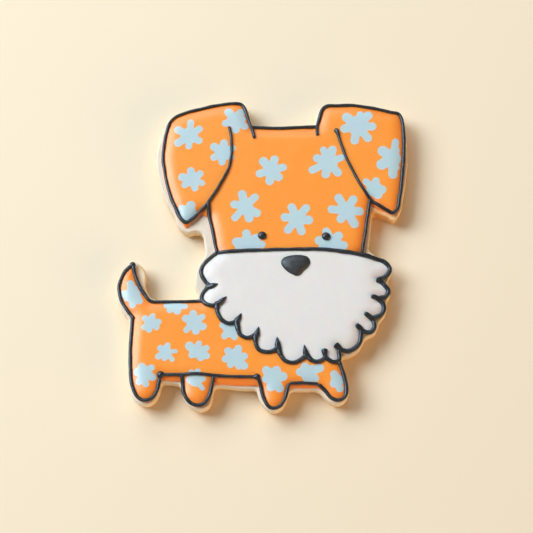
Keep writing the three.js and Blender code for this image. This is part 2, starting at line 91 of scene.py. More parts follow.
# Beard: the line over the muzzle, then the arc of one scallop after another down the right
# side, along the chin and up the left side, each with its tick inwards
BEARD_TOP = [[-14.5, 1.3], [-9, 1.7], [0, 2.05], [10, 2.3], [20, 2.2], [30, 0.8], [36, -0.7]]
SCALLOP_ARCS = [
    [[38.8, -1.6], [40.6, -4], [39.6, -6.2], [37.4, -7.5]],
    [[38.6, -9.2], [40, -11.5], [39, -13.25], [37.5, -13.6]],
    [[38.2, -15.6], [38.4, -17.6], [37.3, -19.4], [35.7, -20.1]],
    [[35.1, -21.6], [35.4, -23.3], [34.5, -24.7], [33, -25]],
    [[31.1, -25.6], [30.6, -28.2], [29.1, -30.2], [26.8, -31.1]],
    [[24, -31.4], [24, -34.2], [22.2, -34.85], [20.1, -33.75]],
    [[18.7, -34.2], [17, -34.85], [15.4, -34.3], [14.2, -33]],
    [[12.1, -34.1], [9.8, -35.1], [7.2, -34.5], [5.7, -32.5]],
    [[3.3, -31.3], [1.1, -31.7], [-1, -31], [-2.1, -28.8]],
    [[-3.6, -26.8], [-5.2, -27], [-7.1, -25.8], [-8, -23]],
    [[-9.1, -22.1], [-10.7, -22.3], [-12.9, -21.1], [-14.3, -18.2]],
    [[-15.6, -16.5], [-17.9, -15.9], [-19.2, -14.1], [-18.9, -12.1]],
    [[-18.2, -8.3], [-19.6, -5], [-18.4, -2.1], [-16.3, 0]],
]
TICKS = [
    [[36.1, -7.7]], [[36.1, -13.8], [34.4, -13.35]], [[33.9, -20], [32.2, -18.95]],
    [[31.3, -24.3], [29.5, -22.5]], [[24.4, -30.5], [22.8, -29]], [[19.5, -32.2], [19.4, -30.6]],
    [[13.4, -31.4], [13.1, -29.2]], [[4.8, -29.8], [4.65, -26.6]], [[-2, -26.3], [-1.1, -23.3]],
    [[-7.6, -21], [-6.5, -18.9]], [[-14, -15.9], [-11.2, -13.4]], [[-17.4, -10], [-13.9, -9.2]], [],
]
# The notches where one scallop ends and the next starts, in the same order
NOTCHES = [
    [37, -7.9], [36.6, -14.1], [34.4, -20.4], [31, -24.2], [24.1, -30.5], [19.7, -33.1], [13.8, -32.5],
    [4.9, -30.1], [-2.1, -25.9], [-7.9, -21.3], [-14.2, -15.7], [-16.9, -9.5],
]
# How full the strokes of the scallops at the cookie's edge are. The scallops that are named by
# their place in the list vary along their lengths instead
EDGE_FULLNESS = 1.12
FULLNESS = {
    0: [0.93, 0.9, 0.8, 0.92, 1.02, 1.1, 1.1], 4: [1.12, 1.12, 1.12, 1.12, 1.3], 5: [1, 1, 1, 1.05, 1.3],
}
# The scallops that lie on the body rather than at the cookie's edge
FIRST_ON_BODY = 5
LAST_ON_BODY = 11

# The tail, the back and the legs from left to right, each anticlockwise round the cookie
TAIL_LEFT = [
    [-41.3, -2.3], [-43.1, -4], [-44.65, -6.5], [-45.6, -10], [-44.9, -14.1], [-43, -17.5],
    [-40.6, -20.8],
]
TAIL_RIGHT = [[-35.4, -14.8], [-37.4, -12.6], [-39.2, -9.8], [-40.5, -6.6], [-41.3, -2.3]]
BACK = [[-19.8, -14.8], [-27, -14.9], [-35.4, -14.8]]
BACK_END = [-18.9, -14.8]
LEG_1 = [
    [-41.1, -20], [-41.3, -25], [-41.5, -32], [-41.2, -38.5], [-40.3, -43.2], [-38.8, -46],
    [-36.8, -47], [-34.5, -46.3], [-32.9, -44], [-32.2, -40.8], [-31.7, -38.9],
]
LEG_2 = [
    [-25.1, -38.9], [-24.9, -41.8], [-24.3, -45.2], [-22.6, -47.7], [-20.1, -48.5], [-18, -47.8],
    [-16.4, -45.2], [-15.6, -41.5], [-15.2, -39.1],
]
LEG_3 = [
    [-1.4, -39.8], [-0.5, -42.6], [0.6, -46.7], [1.8, -48.8], [3.4, -49.5], [5.3, -49],
    [6.8, -46.9], [7.8, -43.5], [8.4, -41.6],
]
BELLY_34 = [[8.4, -41.6], [13, -41.6], [17.4, -41.8]]
LEG_4 = [
    [17.4, -41.8], [19.6, -44], [21.4, -46.1], [23.7, -46.9], [25.7, -45.8], [26.2, -43.3],
    [25.6, -39.8], [24.7, -36.6], [24, -34.4],
]
BELLY = [[-31.7, -38.8], [-26, -38.85], [-20, -38.75], [-13, -39.3], [-7, -39.6], [-1.4, -39.65]]
# Drops (x, y, radius) where the nozzle rested: where the right ear's flap starts, then at both
# ends of the belly line and at the tail's tip
FLAP_DROPS = [[24.2, 43.2, 0.86]]
REST_DROPS = [[-31.8, -38.9, 1.2], [-1.7, -39.6, 1.02], [-41.45, -2.7, 1.0]]
# The body icing runs on below the belly line, between the legs
SKIRT_12 = [[-31.5, -40.2], [-28.5, -40.7], [-25.7, -40.8]]
SKIRT_23 = [[-14.8, -41.7], [-8, -42.1], [-1.7, -42.2]]
SKIRT_34 = [[9, -42.8], [13, -42.9], [17, -42.8]]

# The middles of the eyes, and the nose's outline
EYE_LEFT = [-0.1, 6.9]
EYE_RIGHT = [20.4, 6.6]
NOSE = [
    [6.1, -1.9], [6.6, -3.3], [8, -4.9], [9.6, -5.9], [10.9, -6.4], [12, -6], [13.1, -4.7],
    [14.6, -3.2], [15.1, -1.8], [14.4, -0.2], [12.7, 0.5], [9.2, 0.4], [6.9, -0.4],
]

# How far each icing's edge lies outside the middle of the line piped over it. The orange icings
# stop short of the beard's lines
UNDER_LINE = 0.38
UNDER_EAR_LINE = 0.42
UNDER_SCALLOPS = 0.12
CLEAR_OF_BEARD = -0.2
# How far the dough reaches past the lines round it, each list spread evenly along its own line
DOUGH_MARGIN = 1.05
SKIRT_MARGIN = 0.5
LOW_SKIRT_MARGINS = [0.5, 0.8]
LEG_1_MARGINS = [1.05, 0.95, 0.9, 0.95, 1.05, 1.4, 0.9]
LEG_2_MARGINS = [0.7, 0.65, 0.55, 1.35, 1.7, 0.9, 0.75]
LEG_3_MARGINS = [1.35, 1.45, 1.15, 0.75, 0.8, 0.75, 0.8]
LEG_4_MARGINS = [1.3, 1.25, 0.95, 0.9, 1.05, 1.05]
EAR_LEFT_MARGINS = [1.3, 1.3, 1.2, 1.3, 1.8, 2.4, 2.3, 1.3, 4.6]
EAR_RIGHT_MARGINS = [2.5, 1.3, 1.2, 1.5, 1.6, 1.3, 1.1, 1.1, 1.5, 1.4, 1.4, 1.5, 1.5]
HEAD_LEFT_MARGINS = [3.3, 3.4]
HEAD_RIGHT_MARGINS = [1.8, 1.6, 1.6]
CHEEK_LEFT_MARGINS = [3, 1.6, 1.8, 3.9, 2.2, 1.4]
CHEEK_RIGHT_MARGIN = 1.4
NOTCH_MARGINS = [3.2, 2.7, 2.3, 2.2, 2.4]
TAIL_LEFT_MARGINS = [1.2, 1, 1.1, 1.5]
TAIL_RIGHT_MARGINS = [1.1, 1.3, 1.8, 2.7, 3.5, 1.3]
# Uneven places of the outlines as (x, y, height, reach): the dough's corners under the ears, and
# the icing that ran out over the ears' lines there
DOUGH_BUMPS = [[-23.7, 8.8, 0.65, 1.4], [42.4, 13.6, 1.0, 1.4]]
SPILLS = [[-24.6, 11.1, 1.15, 0.65], [37.6, 17, 0.5, 1.8], [36, 17.6, 0.6, 1.1]]
# Places where shadow is painted onto the dough as more toast, as (x, y, amount, reach): its corner
# under the right ear, in the shade of the ear's icing
PAINTED_SHADOW_SPOTS = [[39.8, 14.2, 0.8, 3.6], [36.8, 15.6, 0.9, 1.8]]
# A place is kept unless another stretch grows past it by more than this
GROW_SLACK = 0.1


@dataclass(frozen=True)
class Flower:
    """A flower of the print: its middle and body radius, and (x, y, radius) of each petal's end."""

    x: float
    y: float
    body: float
    petals: tuple[tuple[float, float, float], ...]


HEAD_FLOWERS = (
    Flower(-24, 41.5, 2.7, ((-23.6, 46.2, 1.1), (-20.8, 43.9, 1.2), (-20.9, 39.8, 1.25),
        (-24.1, 37.8, 1.1), (-27.6, 39, 1.35), (-27.6, 43.6, 1.35))),
    Flower(-9.1, 47, 2.5, ((-11.15, 49.9, 1.45), (-7.2, 49.9, 1.35), (-6.6, 47.6, 1.1),
        (-6, 45, 1.3), (-8.8, 43.6, 1.3), (-12.1, 45.9, 1.25))),
    Flower(-12.8, 35.6, 2.7, ((-12.6, 38.9, 1.3), (-15.75, 37.6, 1.4), (-15.85, 33.9, 1.2),
        (-13.2, 32.3, 1.2), (-9.9, 37.1, 1.15), (-10.3, 34, 1.1))),
    Flower(-22.6, 26.2, 2.35, ((-23.3, 29.2, 1.25), (-20.3, 28.2, 1.15), (-19.6, 24.9, 1),
        (-21.9, 23.2, 1.15), (-25.2, 24.3, 1.1), (-26, 27, 1.4))),
    Flower(-23.9, 14.6, 2.6, ((-23.1, 17.3, 1.5), (-26, 16.1, 1.4))),
    Flower(31, 45.1, 3.4, ((27.7, 48, 1.65), (32.1, 49.2, 1.1), (34.7, 48.8, 1.5),
        (35.9, 44.8, 1.45), (34.4, 40.7, 1.4), (30.1, 39.8, 1.4), (26.9, 44, 1.45))),
    Flower(42.3, 33.7, 2.8, ((43.5, 39.4, 1.2), (43.6, 36.6, 1.2), (39.3, 36.1, 1.8),
        (38.8, 31.4, 1.8), (42.3, 28, 1.5), (43.4, 30.6, 1.2))),
    Flower(36.2, 23, 2.6, ((33.5, 25.5, 1.1), (36.8, 25.75, 1.2), (38.7, 22.7, 1.4),
        (37.3, 21.1, 1.5))),
    Flower(2.8, 29.4, 2.3, ((0.3, 32.5, 1.5), (3.9, 33.2, 1.35), (6.6, 30.4, 1.3), (5.2, 27, 1.4),
        (2.3, 25.6, 1.4), (-0.9, 28.2, 1.35))),
    Flower(21.6, 32.2, 2.8, ((19.9, 36.5, 1.2), (22.8, 36.6, 1.4), (25.6, 33.8, 1.2),
        (24.4, 28.6, 1.4), (20.5, 28, 1.4), (16.2, 29.5, 1.3), (17.8, 33.6, 1.4))),
    Flower(-5.6, 16.9, 2.4, ((-6.6, 21.1, 1.4), (-2.5, 20, 1.3), (-1.9, 14.6, 1.4),
        (-4.3, 12.8, 1.4), (-8.9, 13, 1.2), (-9.1, 17.6, 1.35))),
    Flower(11.1, 12.7, 2.5, ((9.4, 16.6, 1.35), (14, 16.3, 1.35), (14.8, 12.2, 1.5),
        (12.5, 8.4, 1.35), (8.2, 8.9, 1.35), (7.2, 13.2, 1.4))),
    Flower(27, 15.4, 2.5, ((24.6, 19.8, 1.4), (29.3, 19.3, 1.4), (31.2, 15.3, 1.45),
        (29.5, 11, 1.5), (25.2, 12.6, 1.4), (22.3, 15.9, 1.35))),
    Flower(-4.7, 4.8, 2.4, ((-5.2, 7.7, 1.35), (-8.3, 4.8, 1.5), (-2, 6.2, 1.3), (-0.2, 3.9, 1.2),
        (-7.6, 3.2, 1.2), (-2.4, 2.8, 1.1))),
    Flower(22.3, 4.9, 2.4, ((20.5, 8.3, 1.35), (24.4, 6.9, 1.4), (18.2, 5.3, 1.5),
        (19.2, 3.4, 1.2), (25.9, 3.6, 1.4), (24.4, 3, 1.2))),
)
BODY_FLOWERS = (
    Flower(-41.5, -12.6, 1.9, ((-41.95, -9.1, 1.2), (-43.8, -12.5, 1.2), (-42.9, -13.9, 1),
        (-41.1, -16.1, 1.1), (-39, -14.9, 1.15), (-39.4, -13.6, 1), (-39.9, -12.2, 1.1),
        (-40.6, -10.7, 1))),
    Flower(-27.4, -16.6, 1.9, ((-30.3, -16.3, 1), (-29.3, -17.95, 1), (-26.9, -18.3, 1.15),
        (-24.5, -16.6, 0.9))),
    Flower(-35.2, -21.9, 1.7, ((-34.7, -19.95, 0.95), (-32.8, -21.85, 1), (-33.35, -23.6, 0.95),
        (-35.65, -24.4, 1), (-37.25, -23.6, 0.9), (-37, -20.7, 1.05))),
    Flower(-21.7, -21.8, 2.2, ((-21.85, -19.1, 1.2), (-19, -20.2, 1), (-18.7, -23.4, 1.15),
        (-20.9, -24.85, 1.2), (-23.9, -24.5, 1), (-24.15, -20.7, 1.25))),
    Flower(-30.3, -31.6, 1.7, ((-32, -30.4, 1), (-29.8, -29.6, 1), (-27.2, -31.4, 0.65),
        (-28.2, -34.1, 0.75), (-30.6, -33.6, 0.95), (-32.6, -33.1, 1))),
    Flower(-20.8, -31.6, 1.9, ((-22.9, -29.7, 1.4), (-19.95, -28.9, 0.95), (-17.6, -30.4, 1),
        (-17.5, -32.9, 1.1), (-19.3, -33.5, 1.1), (-22.2, -32.7, 1))),
    Flower(-8.8, -33.2, 2.4, ((-10.8, -31.3, 1.2), (-7.6, -30.6, 1.25), (-5.7, -33, 1.15),
        (-5.7, -36.1, 1.25), (-7.4, -36.2, 1.1), (-10, -35.8, 1.05), (-11.5, -33.9, 1.2))),
    Flower(-10.2, -24.7, 2.1, ((-12.5, -22.9, 1.1), (-11.9, -26.4, 1.1), (-8.8, -26.7, 1.1))),
    Flower(-36.9, -38.4, 2.2, ((-37.65, -36.4, 1.25), (-34.7, -36.7, 1.05), (-34.3, -39.7, 1.2),
        (-36.3, -42, 1), (-38.4, -41.1, 1.1), (-39, -38, 1.3))),
    Flower(-20.9, -40.8, 1.95, ((-20.2, -37.9, 0.9), (-22.2, -38.1, 0.8), (-22.7, -40.5, 1.1),
        (-18.6, -40.2, 1), (-18.7, -43.25, 0.75))),
    Flower(3.4, -39.7, 2.75, ((1.3, -37.6, 1.4), (4.4, -37.5, 1.35), (6.4, -39.5, 1.4),
        (5.3, -43.2, 1.4), (2.7, -42.8, 1.4), (0.9, -40.3, 1.1))),
    Flower(14.2, -38.4, 2.2, ((13.3, -36.4, 1.35), (15.6, -37, 1.2), (17.9, -36.8, 1.35),
        (16.5, -40.1, 1.2), (15, -40, 1.1), (13.6, -39.9, 1.15), (11.75, -38.1, 1.3))),
    Flower(23.3, -40.7, 1.9, ((22.5, -38.85, 1.35), (22.2, -41.8, 1.2), (24.1, -43.3, 1.2))),
)


class Area(Enum):
    """The three flooded and outlined areas of the cookie."""

    HEAD = "head"
    BEARD = "beard"
    BODY = "body"


class End(Enum):
    """How a piped line ends: the length over which it narrows, its last share, and its swelling."""

    ROUND = (0.55, 0.0, 0.0)
    KNOB = (0.7, 0.0, 0.3)
    WEDGE = (2.7, 0.0, 0.6)
    SOFT = (1.7, 0.4, 0.12)


# Curves and outlines


def catmull(points: np.ndarray, closed: bool, per_span: int = 24) -> np.ndarray:
    """Places on a smooth curve through the points.

    Between two points the curve blends the four points round them, with knots set apart by
    the square root of the distance, which keeps it from overshooting. An open curve mirrors
    its second point past its end.

    Args:
        points: The points, one row each.
        closed: Whether the curve returns to its start.
        per_span: How many places lie between two points.

    Returns:
        The places in order, with the last point of an open curve.
    """
    p = np.asarray(points, float)
    if closed:
        q = np.concatenate([p[-1:], p, p[:2]])
    else:
        q = np.concatenate([2 * p[:1] - p[1:2], p, 2 * p[-1:] - p[-2:-1]])
    a, b, c, d = (q[i : len(q) - 3 + i][:, None] for i in range(4))

    def knot(u: np.ndarray, v: np.ndarray) -> np.ndarray:
        """The square root of the distance between two points."""
        return np.sqrt(np.maximum(np.linalg.norm(v - u, axis=2, keepdims=True), 1e-6))

    t1 = knot(a, b)
    t2 = t1 + knot(b, c)
    t3 = t2 + knot(c, d)
    t = t1 + (t2 - t1) * np.linspace(0, 1, per_span, endpoint=False)[None, :, None]
    a1 = (t1 - t) / t1 * a + t / t1 * b
    a2 = (t2 - t) / (t2 - t1) * b + (t - t1) / (t2 - t1) * c
    a3 = (t3 - t) / (t3 - t2) * c + (t - t2) / (t3 - t2) * d
    b1 = (t2 - t) / t2 * a1 + t / t2 * a2
    b2 = (t3 - t) / (t3 - t1) * a2 + (t - t1) / (t3 - t1) * a3
    curve = ((t2 - t) / (t2 - t1) * b1 + (t - t1) / (t2 - t1) * b2).reshape(-1, 2)
    return curve if closed else np.concatenate([curve, p[-1:]])


def smooth_line(points: np.ndarray, step: float, closed: bool = False) -> np.ndarray:
    """Evenly spaced places on the smooth curve through the points.

    Args:
        points: The points, one row each.
        step: The distance between places.
        closed: Whether the curve returns to its start, which is then not repeated.

    Returns:
        The places in order.
    """
    curve = catmull(points, closed)
    if closed:
        curve = np.concatenate([curve, curve[:1]])
    travelled = np.concatenate([[0], np.cumsum(np.linalg.norm(np.diff(curve, axis=0), axis=1))])
    parts = max(2, round(travelled[-1] / step))
    at = np.linspace(0, travelled[-1], parts + 1)
    line = np.stack([np.interp(at, travelled, curve[:, k]) for k in range(2)], 1)
    return line[:-1] if closed else line


def outward(ring: np.ndarray) -> np.ndarray:
    """Outward unit normals of an anticlockwise ring: the chord past each place, turned by a quarter."""
    chord = np.roll(ring, -1, 0) - np.roll(ring, 1, 0)
    normal = np.stack([chord[:, 1], -chord[:, 0]], 1)
    return normal / np.linalg.norm(normal, axis=1, keepdims=True)


@dataclass(frozen=True)
class Run:
    """One stretch of an outline, and how far it is moved outwards: one distance, or a list along it."""

    points: list
    grow: float | list = 0.0


def spread(values: float | list, count: int) -> np.ndarray:
    """A value, or a list of them, spread evenly over a number of places."""
    knots = np.atleast_1d(values)
    return np.interp(np.linspace(0, 1, count), np.linspace(0, 1, len(knots)), knots)


def join_runs(runs: list[Run], step: float, rounding: int) -> np.ndarray:
    """Joins runs into one outline.

    Each place moves outwards by its run's distance. A place that another stretch grows past
    is dropped, which cleans the inward corners. Then each place moves to the mean of itself
    and its neighbours a few times, which rounds the corners off.

    Args:
        runs: The stretches, anticlockwise.
        step: The distance between places.
        rounding: How many times the corners are rounded.

    Returns:
        The outline's places, evenly spaced.
    """
    places: list[np.ndarray] = []
    grows: list[np.ndarray] = []
    for run in runs:
        line = smooth_line(run.points, step)
        grow = spread(run.grow, len(line))
        if places:
            apart = np.linalg.norm(line - places[-1][-1], axis=1) >= 0.5 * step
            line, grow = line[np.argmax(apart) :], grow[np.argmax(apart) :]
        places.append(line)
        grows.append(grow)
    outline, grow = np.concatenate(places), np.concatenate(grows)
    grown = outline + outward(outline) * grow[:, None]
    gaps = np.linalg.norm(grown[:, None] - outline[None], axis=2)
    ring = smooth_line(grown[np.all(gaps > grow - GROW_SLACK, axis=1)], step, closed=True)
    for _ in range(rounding):
        ring = 0.5 * ring + 0.25 * (np.roll(ring, 1, 0) + np.roll(ring, -1, 0))
    return smooth_line(ring, step, closed=True)


def bells(places: np.ndarray, marks: list) -> np.ndarray:
    """The sum at each place of a bell round each (x, y, height, reach) mark."""
    total = np.zeros(len(places))
    for x, y, height, reach in marks:
        total += height * np.exp(-(np.linalg.norm(places - (x, y), axis=1) / reach) ** 2)
    return total


def swollen(ring: np.ndarray, bumps: list) -> np.ndarray:
    """Pushes a ring outwards by the bells of its bumps."""
    return ring + outward(ring) * bells(ring, bumps)[:, None]


def scallop_run(i: int) -> list:
    """The points of scallop i from one notch to the next, with the beard's corner at the very end."""
    start = [NOTCHES[i - 1]] if i > 0 else []
    end = [NOTCHES[i]] if i < len(NOTCHES) else [BEARD_TOP[0]]
    return start + SCALLOP_ARCS[i] + end


def to_segment(p: np.ndarray, a: np.ndarray, b: np.ndarray) -> np.ndarray:
    """Distance from each place p to its own segment from a to b."""
    along = b - a
    share = np.einsum("...i,...i", p - a, along) / np.maximum(np.einsum("...i,...i", along, along), 1e-12)
    return np.linalg.norm(p - a - np.clip(share, 0, 1)[..., None] * along, axis=-1)


def nearest(places: np.ndarray, targets: np.ndarray, chunk: int = 4000) -> np.ndarray:
    """The index of the target nearest to each place, by comparing all of them a chunk at a time."""
    square = (targets**2).sum(1)
    parts = [
        (square - 2 * places[i : i + chunk] @ targets.T).argmin(1) for i in range(0, len(places), chunk)
    ]
    return np.concatenate(parts)


def inset_of(places: np.ndarray, ring: np.ndarray) -> np.ndarray:
    """How far each place lies inside a ring, negative outside.

    The nearest corner of the ring is found first, then the nearer of the two sides that meet
    there. The corner's outward normal gives the sign.
    """
    at = nearest(places, ring)
    corner = ring[at]
    distance = np.minimum(
        to_segment(places, np.roll(ring, 1, 0)[at], corner),
        to_segment(places, corner, np.roll(ring, -1, 0)[at]),
    )
    return np.copysign(distance, np.einsum("ij,ij->i", corner - places, outward(ring)[at]))


def facing(places: np.ndarray, ring: np.ndarray, towards: Pair) -> np.ndarray:
    """How squarely the ring's edge nearest to each place faces a direction, from 0 to 1."""
    return np.clip(outward(ring)[nearest(places, ring)] @ towards, 0, 1)


# Random relief


# The shortest and the longest of the waves, as shares of their mean
WAVE_SHARES = (0.6, 1.6)
# How many random heights the grain draws, and the primes that scatter its lattice over them
GRAIN_HEIGHTS = 4096
GRAIN_PRIMES = np.array([73856093, 19349663, 83492791])


def waves(places: np.ndarray, size: float, seed: int, count: int = 16) -> np.ndarray:
    """Smooth random relief of about -1 to 1: a sum of sines in random directions.

    Args:
        places: Places in two or three dimensions.
        size: The mean wavelength.
        seed: The draw's seed.
        count: How many sines are summed.

    Returns:
        One height for each place.
    """
    rng = np.random.default_rng(seed)
    direction = rng.normal(size=(count, places.shape[1]))
    direction /= np.linalg.norm(direction, axis=1, keepdims=True)
    reach = 2 * np.pi / (size * rng.uniform(*WAVE_SHARES, count))
    phase = rng.uniform(0, 2 * np.pi, count)
    return np.sin(places @ (direction * reach[:, None]).T + phase).sum(1) / math.sqrt(count)


def grain(places: np.ndarray, size: float, seed: int) -> np.ndarray:
    """Lumpy random relief of -1 to 1, like crumb: random heights on a lattice, eased in between.

    Args:
        places: Places in three dimensions.
        size: The lattice's spacing.
        seed: The draw's seed.

    Returns:
        One height for each place.
    """
    table = np.random.default_rng(seed).uniform(-1, 1, GRAIN_HEIGHTS)
    cell = np.floor(places / size).astype(np.int64)
    share = places / size - cell
    share = share * share * (3 - 2 * share)
    total = np.zeros(len(places))
    for corner in np.ndindex(2, 2, 2):
        key = ((cell + corner) * GRAIN_PRIMES).sum(1) % GRAIN_HEIGHTS
        total += table[key] * np.prod(np.where(corner, share, 1 - share), axis=1)
    return total


@dataclass(frozen=True)
class Layer:
    """A layer of random relief: waves or grain, its height, the size of its lumps and its seed."""

    kind: Callable[[np.ndarray, float, int], np.ndarray]
    height: float
    size: float
    seed: int


def relief(places: np.ndarray, layers: tuple[Layer, ...]) -> np.ndarray:
    """The layers' heights at each place, added up."""
    return sum(layer.height * layer.kind(places, layer.size, layer.seed) for layer in layers)


# Meshes


@dataclass
class Surface:
    """A mesh in millimetres: its points, its triangles or quads, and a value for each point."""

    points: np.ndarray
    faces: np.ndarray
    values: dict[str, np.ndarray] = field(default_factory=dict)


def write_mesh(name: str, surface: Surface) -> bpy.types.Mesh:
    """Writes a surface into a smooth-shaded mesh, in metres and in the frame.

    Args:
        name: The mesh's name.
        surface: The surface, about the cookie's face.

    Returns:
        The mesh.
    """
    points = surface.points.copy()
    points[:, :2] -= CENTRE
    sides = surface.faces.shape[1]
    mesh = bpy.data.meshes.new(name)
    mesh.vertices.add(len(points))
    mesh.vertices.foreach_set("co", (points * MM).astype(np.float32).ravel())
    mesh.loops.add(surface.faces.size)
    mesh.loops.foreach_set("vertex_index", surface.faces.astype(np.int32).ravel())
    mesh.polygons.add(len(surface.faces))
    mesh.polygons.foreach_set("loop_start", np.arange(0, surface.faces.size, sides, dtype=np.int32))
    mesh.update(calc_edges=True)
    mesh.shade_smooth()
    for key, values in surface.values.items():
        mesh.attributes.new(key, "FLOAT", "POINT").data.foreach_set("value", values.astype(np.float32))
    return mesh


def add_object(name: str, data: bpy.types.ID) -> bpy.types.Object:
    """An object made of a mesh, a light or a camera, and linked to the scene."""
    made = bpy.data.objects.new(name, data)
    bpy.context.scene.collection.objects.link(made)
    return made


def grid_faces(rows: int, columns: int) -> np.ndarray:
    """Triangles of a grid whose rows close on themselves, facing out if rows rise anticlockwise."""
    r, c = np.meshgrid(np.arange(rows - 1), np.arange(columns), indexing="ij")
    a = (r * columns + c).ravel()
    b = (r * columns + (c + 1) % columns).ravel()
    return np.concatenate([np.stack([a, b, b + columns], 1), np.stack([a, b + columns, a + columns], 1)])


# How far inside its ring a place has to lie, as a share of its row's offset and of the grid's spacing
ROW_CLEARANCE = 0.94
GRID_CLEARANCE = 0.55


def inner_places(ring: np.ndarray, offsets: tuple[float, ...], spacing: float) -> np.ndarray:
    """Places inside a ring: rows that follow it at the given offsets, then a honeycomb grid.

    A row's place is left out where it lies nearer to another stretch of the ring.

    Args:
        ring: The ring, anticlockwise.
        offsets: How far inside the ring the rows lie, in rising order.
        spacing: The grid's spacing.

    Returns:
        The places.
    """
    found = []
    normal = outward(ring)
    for offset in offsets:
        row = ring - normal * offset
        found.append(row[inset_of(row, ring) > ROW_CLEARANCE * offset])
    low, high = ring.min(0), ring.max(0)
    xs = np.arange(low[0], high[0], spacing)
    ys = np.arange(low[1], high[1], spacing * math.sqrt(3) / 2)
    gx, gy = np.meshgrid(xs, ys)
    gx[1::2] += spacing / 2
    grid = np.stack([gx.ravel(), gy.ravel()], 1)
    edge = offsets[-1] if offsets else 0.0
    found.append(grid[inset_of(grid, ring) > edge + GRID_CLEARANCE * spacing])
    return np.concatenate(found)


def fill(ring: np.ndarray, inner: np.ndarray) -> np.ndarray:
    """Delaunay triangles, anticlockwise, of a ring's corners followed by the places inside it."""
    places = [Vector(p) for p in np.concatenate([ring, inner])]
    made = delaunay_2d_cdt(places, [], [list(range(len(ring)))], 1, 1e-7)
    back = np.array([origin[0] for origin in made[3]])
    return back[np.array(made[2])]


def slab(
    outline: np.ndarray, side: list[Pair], offsets: tuple[float, ...], spacing: float,
    under_spacing: float,
) -> tuple[Surface, np.ndarray]:
    """A closed slab: rows of its side that follow the outline, and a filled top and underside.

    Args:
        outline: The widest outline, anticlockwise.
        side: Rows of (inset, height) from the underside's edge up to the top's edge.
        offsets: How far inside the top's edge the first rows of its points lie.
        spacing: The distance between the top's other points.
        under_spacing: The distance between the underside's points.

    Returns:
        The slab with a flat top, and the indices of the points of that top inside its edge.
    """
    count = len(outline)
    normal = outward(outline)
    rows = [np.column_stack([outline - normal * inset, np.full(count, z)]) for inset, z in side]
    bottom_ring, top_ring = rows[0][:, :2], rows[-1][:, :2]
    top = inner_places(top_ring, offsets, spacing)
    under = inner_places(bottom_ring, (), under_spacing)
    points = np.concatenate(
        rows
        + [np.column_stack([top, np.full(len(top), side[-1][1])])]
        + [np.column_stack([under, np.full(len(under), side[0][1])])]
    )
    wall = count * len(side)
    top_ids = np.concatenate([np.arange(count) + count * (len(side) - 1), np.arange(len(top)) + wall])
    under_ids = np.concatenate([np.arange(count), np.arange(len(under)) + wall + len(top)])
    faces = np.concatenate([
        grid_faces(len(side), count),
        top_ids[fill(top_ring, top)],
        under_ids[fill(bottom_ring, under)][:, ::-1],
    ])
    return Surface(points, faces), top_ids[count:]


def relax(surface: Surface, moving: np.ndarray, passes: int, axes: tuple[int, ...] = (2,)) -> None:
    """Evens a surface out: each point moves halfway to the mean of its neighbours, a few times.

    Args:
        surface: The surface, which is changed.
        moving: How much each point may move, from 0 to 1.
        passes: How many times they move.
        axes: The axes along which they move.
    """
    start = surface.faces.ravel()
    end = np.roll(surface.faces, -1, 1).ravel()
    degree = np.bincount(start, minlength=len(surface.points))
    for _ in range(passes):
        for axis in axes:
            column = surface.points[:, axis]
            mean = np.bincount(start, column[end], len(column)) / np.maximum(degree, 1)
            surface.points[:, axis] = column + 0.5 * moving * (mean - column)


def capped(rows: np.ndarray, tips: np.ndarray | None = None) -> Surface:
    """A grid whose rows close on themselves, closed by a point before its first and after its last.

    Args:
        rows: The grid's points, row by row.
        tips: The two closing points. Without them, they are the middles of the two end rows.

    Returns:
        The closed surface.
    """
    if tips is None:
        tips = np.stack([rows[0].mean(0), rows[-1].mean(0)])
    count, around = rows.shape[:2]
    ring = np.arange(around)
    after = (ring + 1) % around
    total, last = count * around, (count - 1) * around
    caps = [
        np.stack([np.full_like(ring, total), after, ring], 1),
        np.stack([np.full_like(ring, total + 1), last + ring, last + after], 1),
    ]
    points = np.vstack([rows.reshape(-1, 3), tips])
    return Surface(points, np.concatenate([grid_faces(count, around), *caps]))


def remeshed(surface: Surface, voxel: float, rounds: int = 4, regain: float = 1.04) -> Surface:
    """The outer skin of overlapping closed shells, as an even mesh.

    In each round the points move towards the mean of their neighbours and away from it again
    by a little more, so that the skin is evened out but keeps its volume.

    Args:
        surface: The shells, in millimetres.
        voxel: The mesh size, in millimetres.
        rounds: How many rounds there are, before two last moves towards the mean.
        regain: How far a point moves away again, as a share of how far it moves in.

    Returns:
        The skin.
    """
    mesh = bpy.data.meshes.new("shells")
    mesh.from_pydata(surface.points.tolist(), [], surface.faces.tolist())
    shells = add_object("shells", mesh)
    modifier = shells.modifiers.new("skin", "REMESH")
    modifier.mode = "VOXEL"
    modifier.voxel_size = voxel
    skin = shells.evaluated_get(bpy.context.evaluated_depsgraph_get()).to_mesh()
    points = np.empty(len(skin.vertices) * 3, np.float32)
    skin.vertices.foreach_get("co", points)
    faces = np.empty(len(skin.polygons) * 4, np.int32)
    skin.loops.foreach_get("vertex_index", faces)
    bpy.data.objects.remove(shells)
    bpy.data.meshes.remove(mesh)
    made = Surface(points.reshape(-1, 3).astype(float), faces.reshape(-1, 4))
    every = np.ones(len(made.points))
    for _ in range(rounds):
        relax(made, every, 1, (0, 1, 2))
        relax(made, -regain * every, 1, (0, 1, 2))
    relax(made, every, 2, (0, 1, 2))
    return made


# Shader nodes


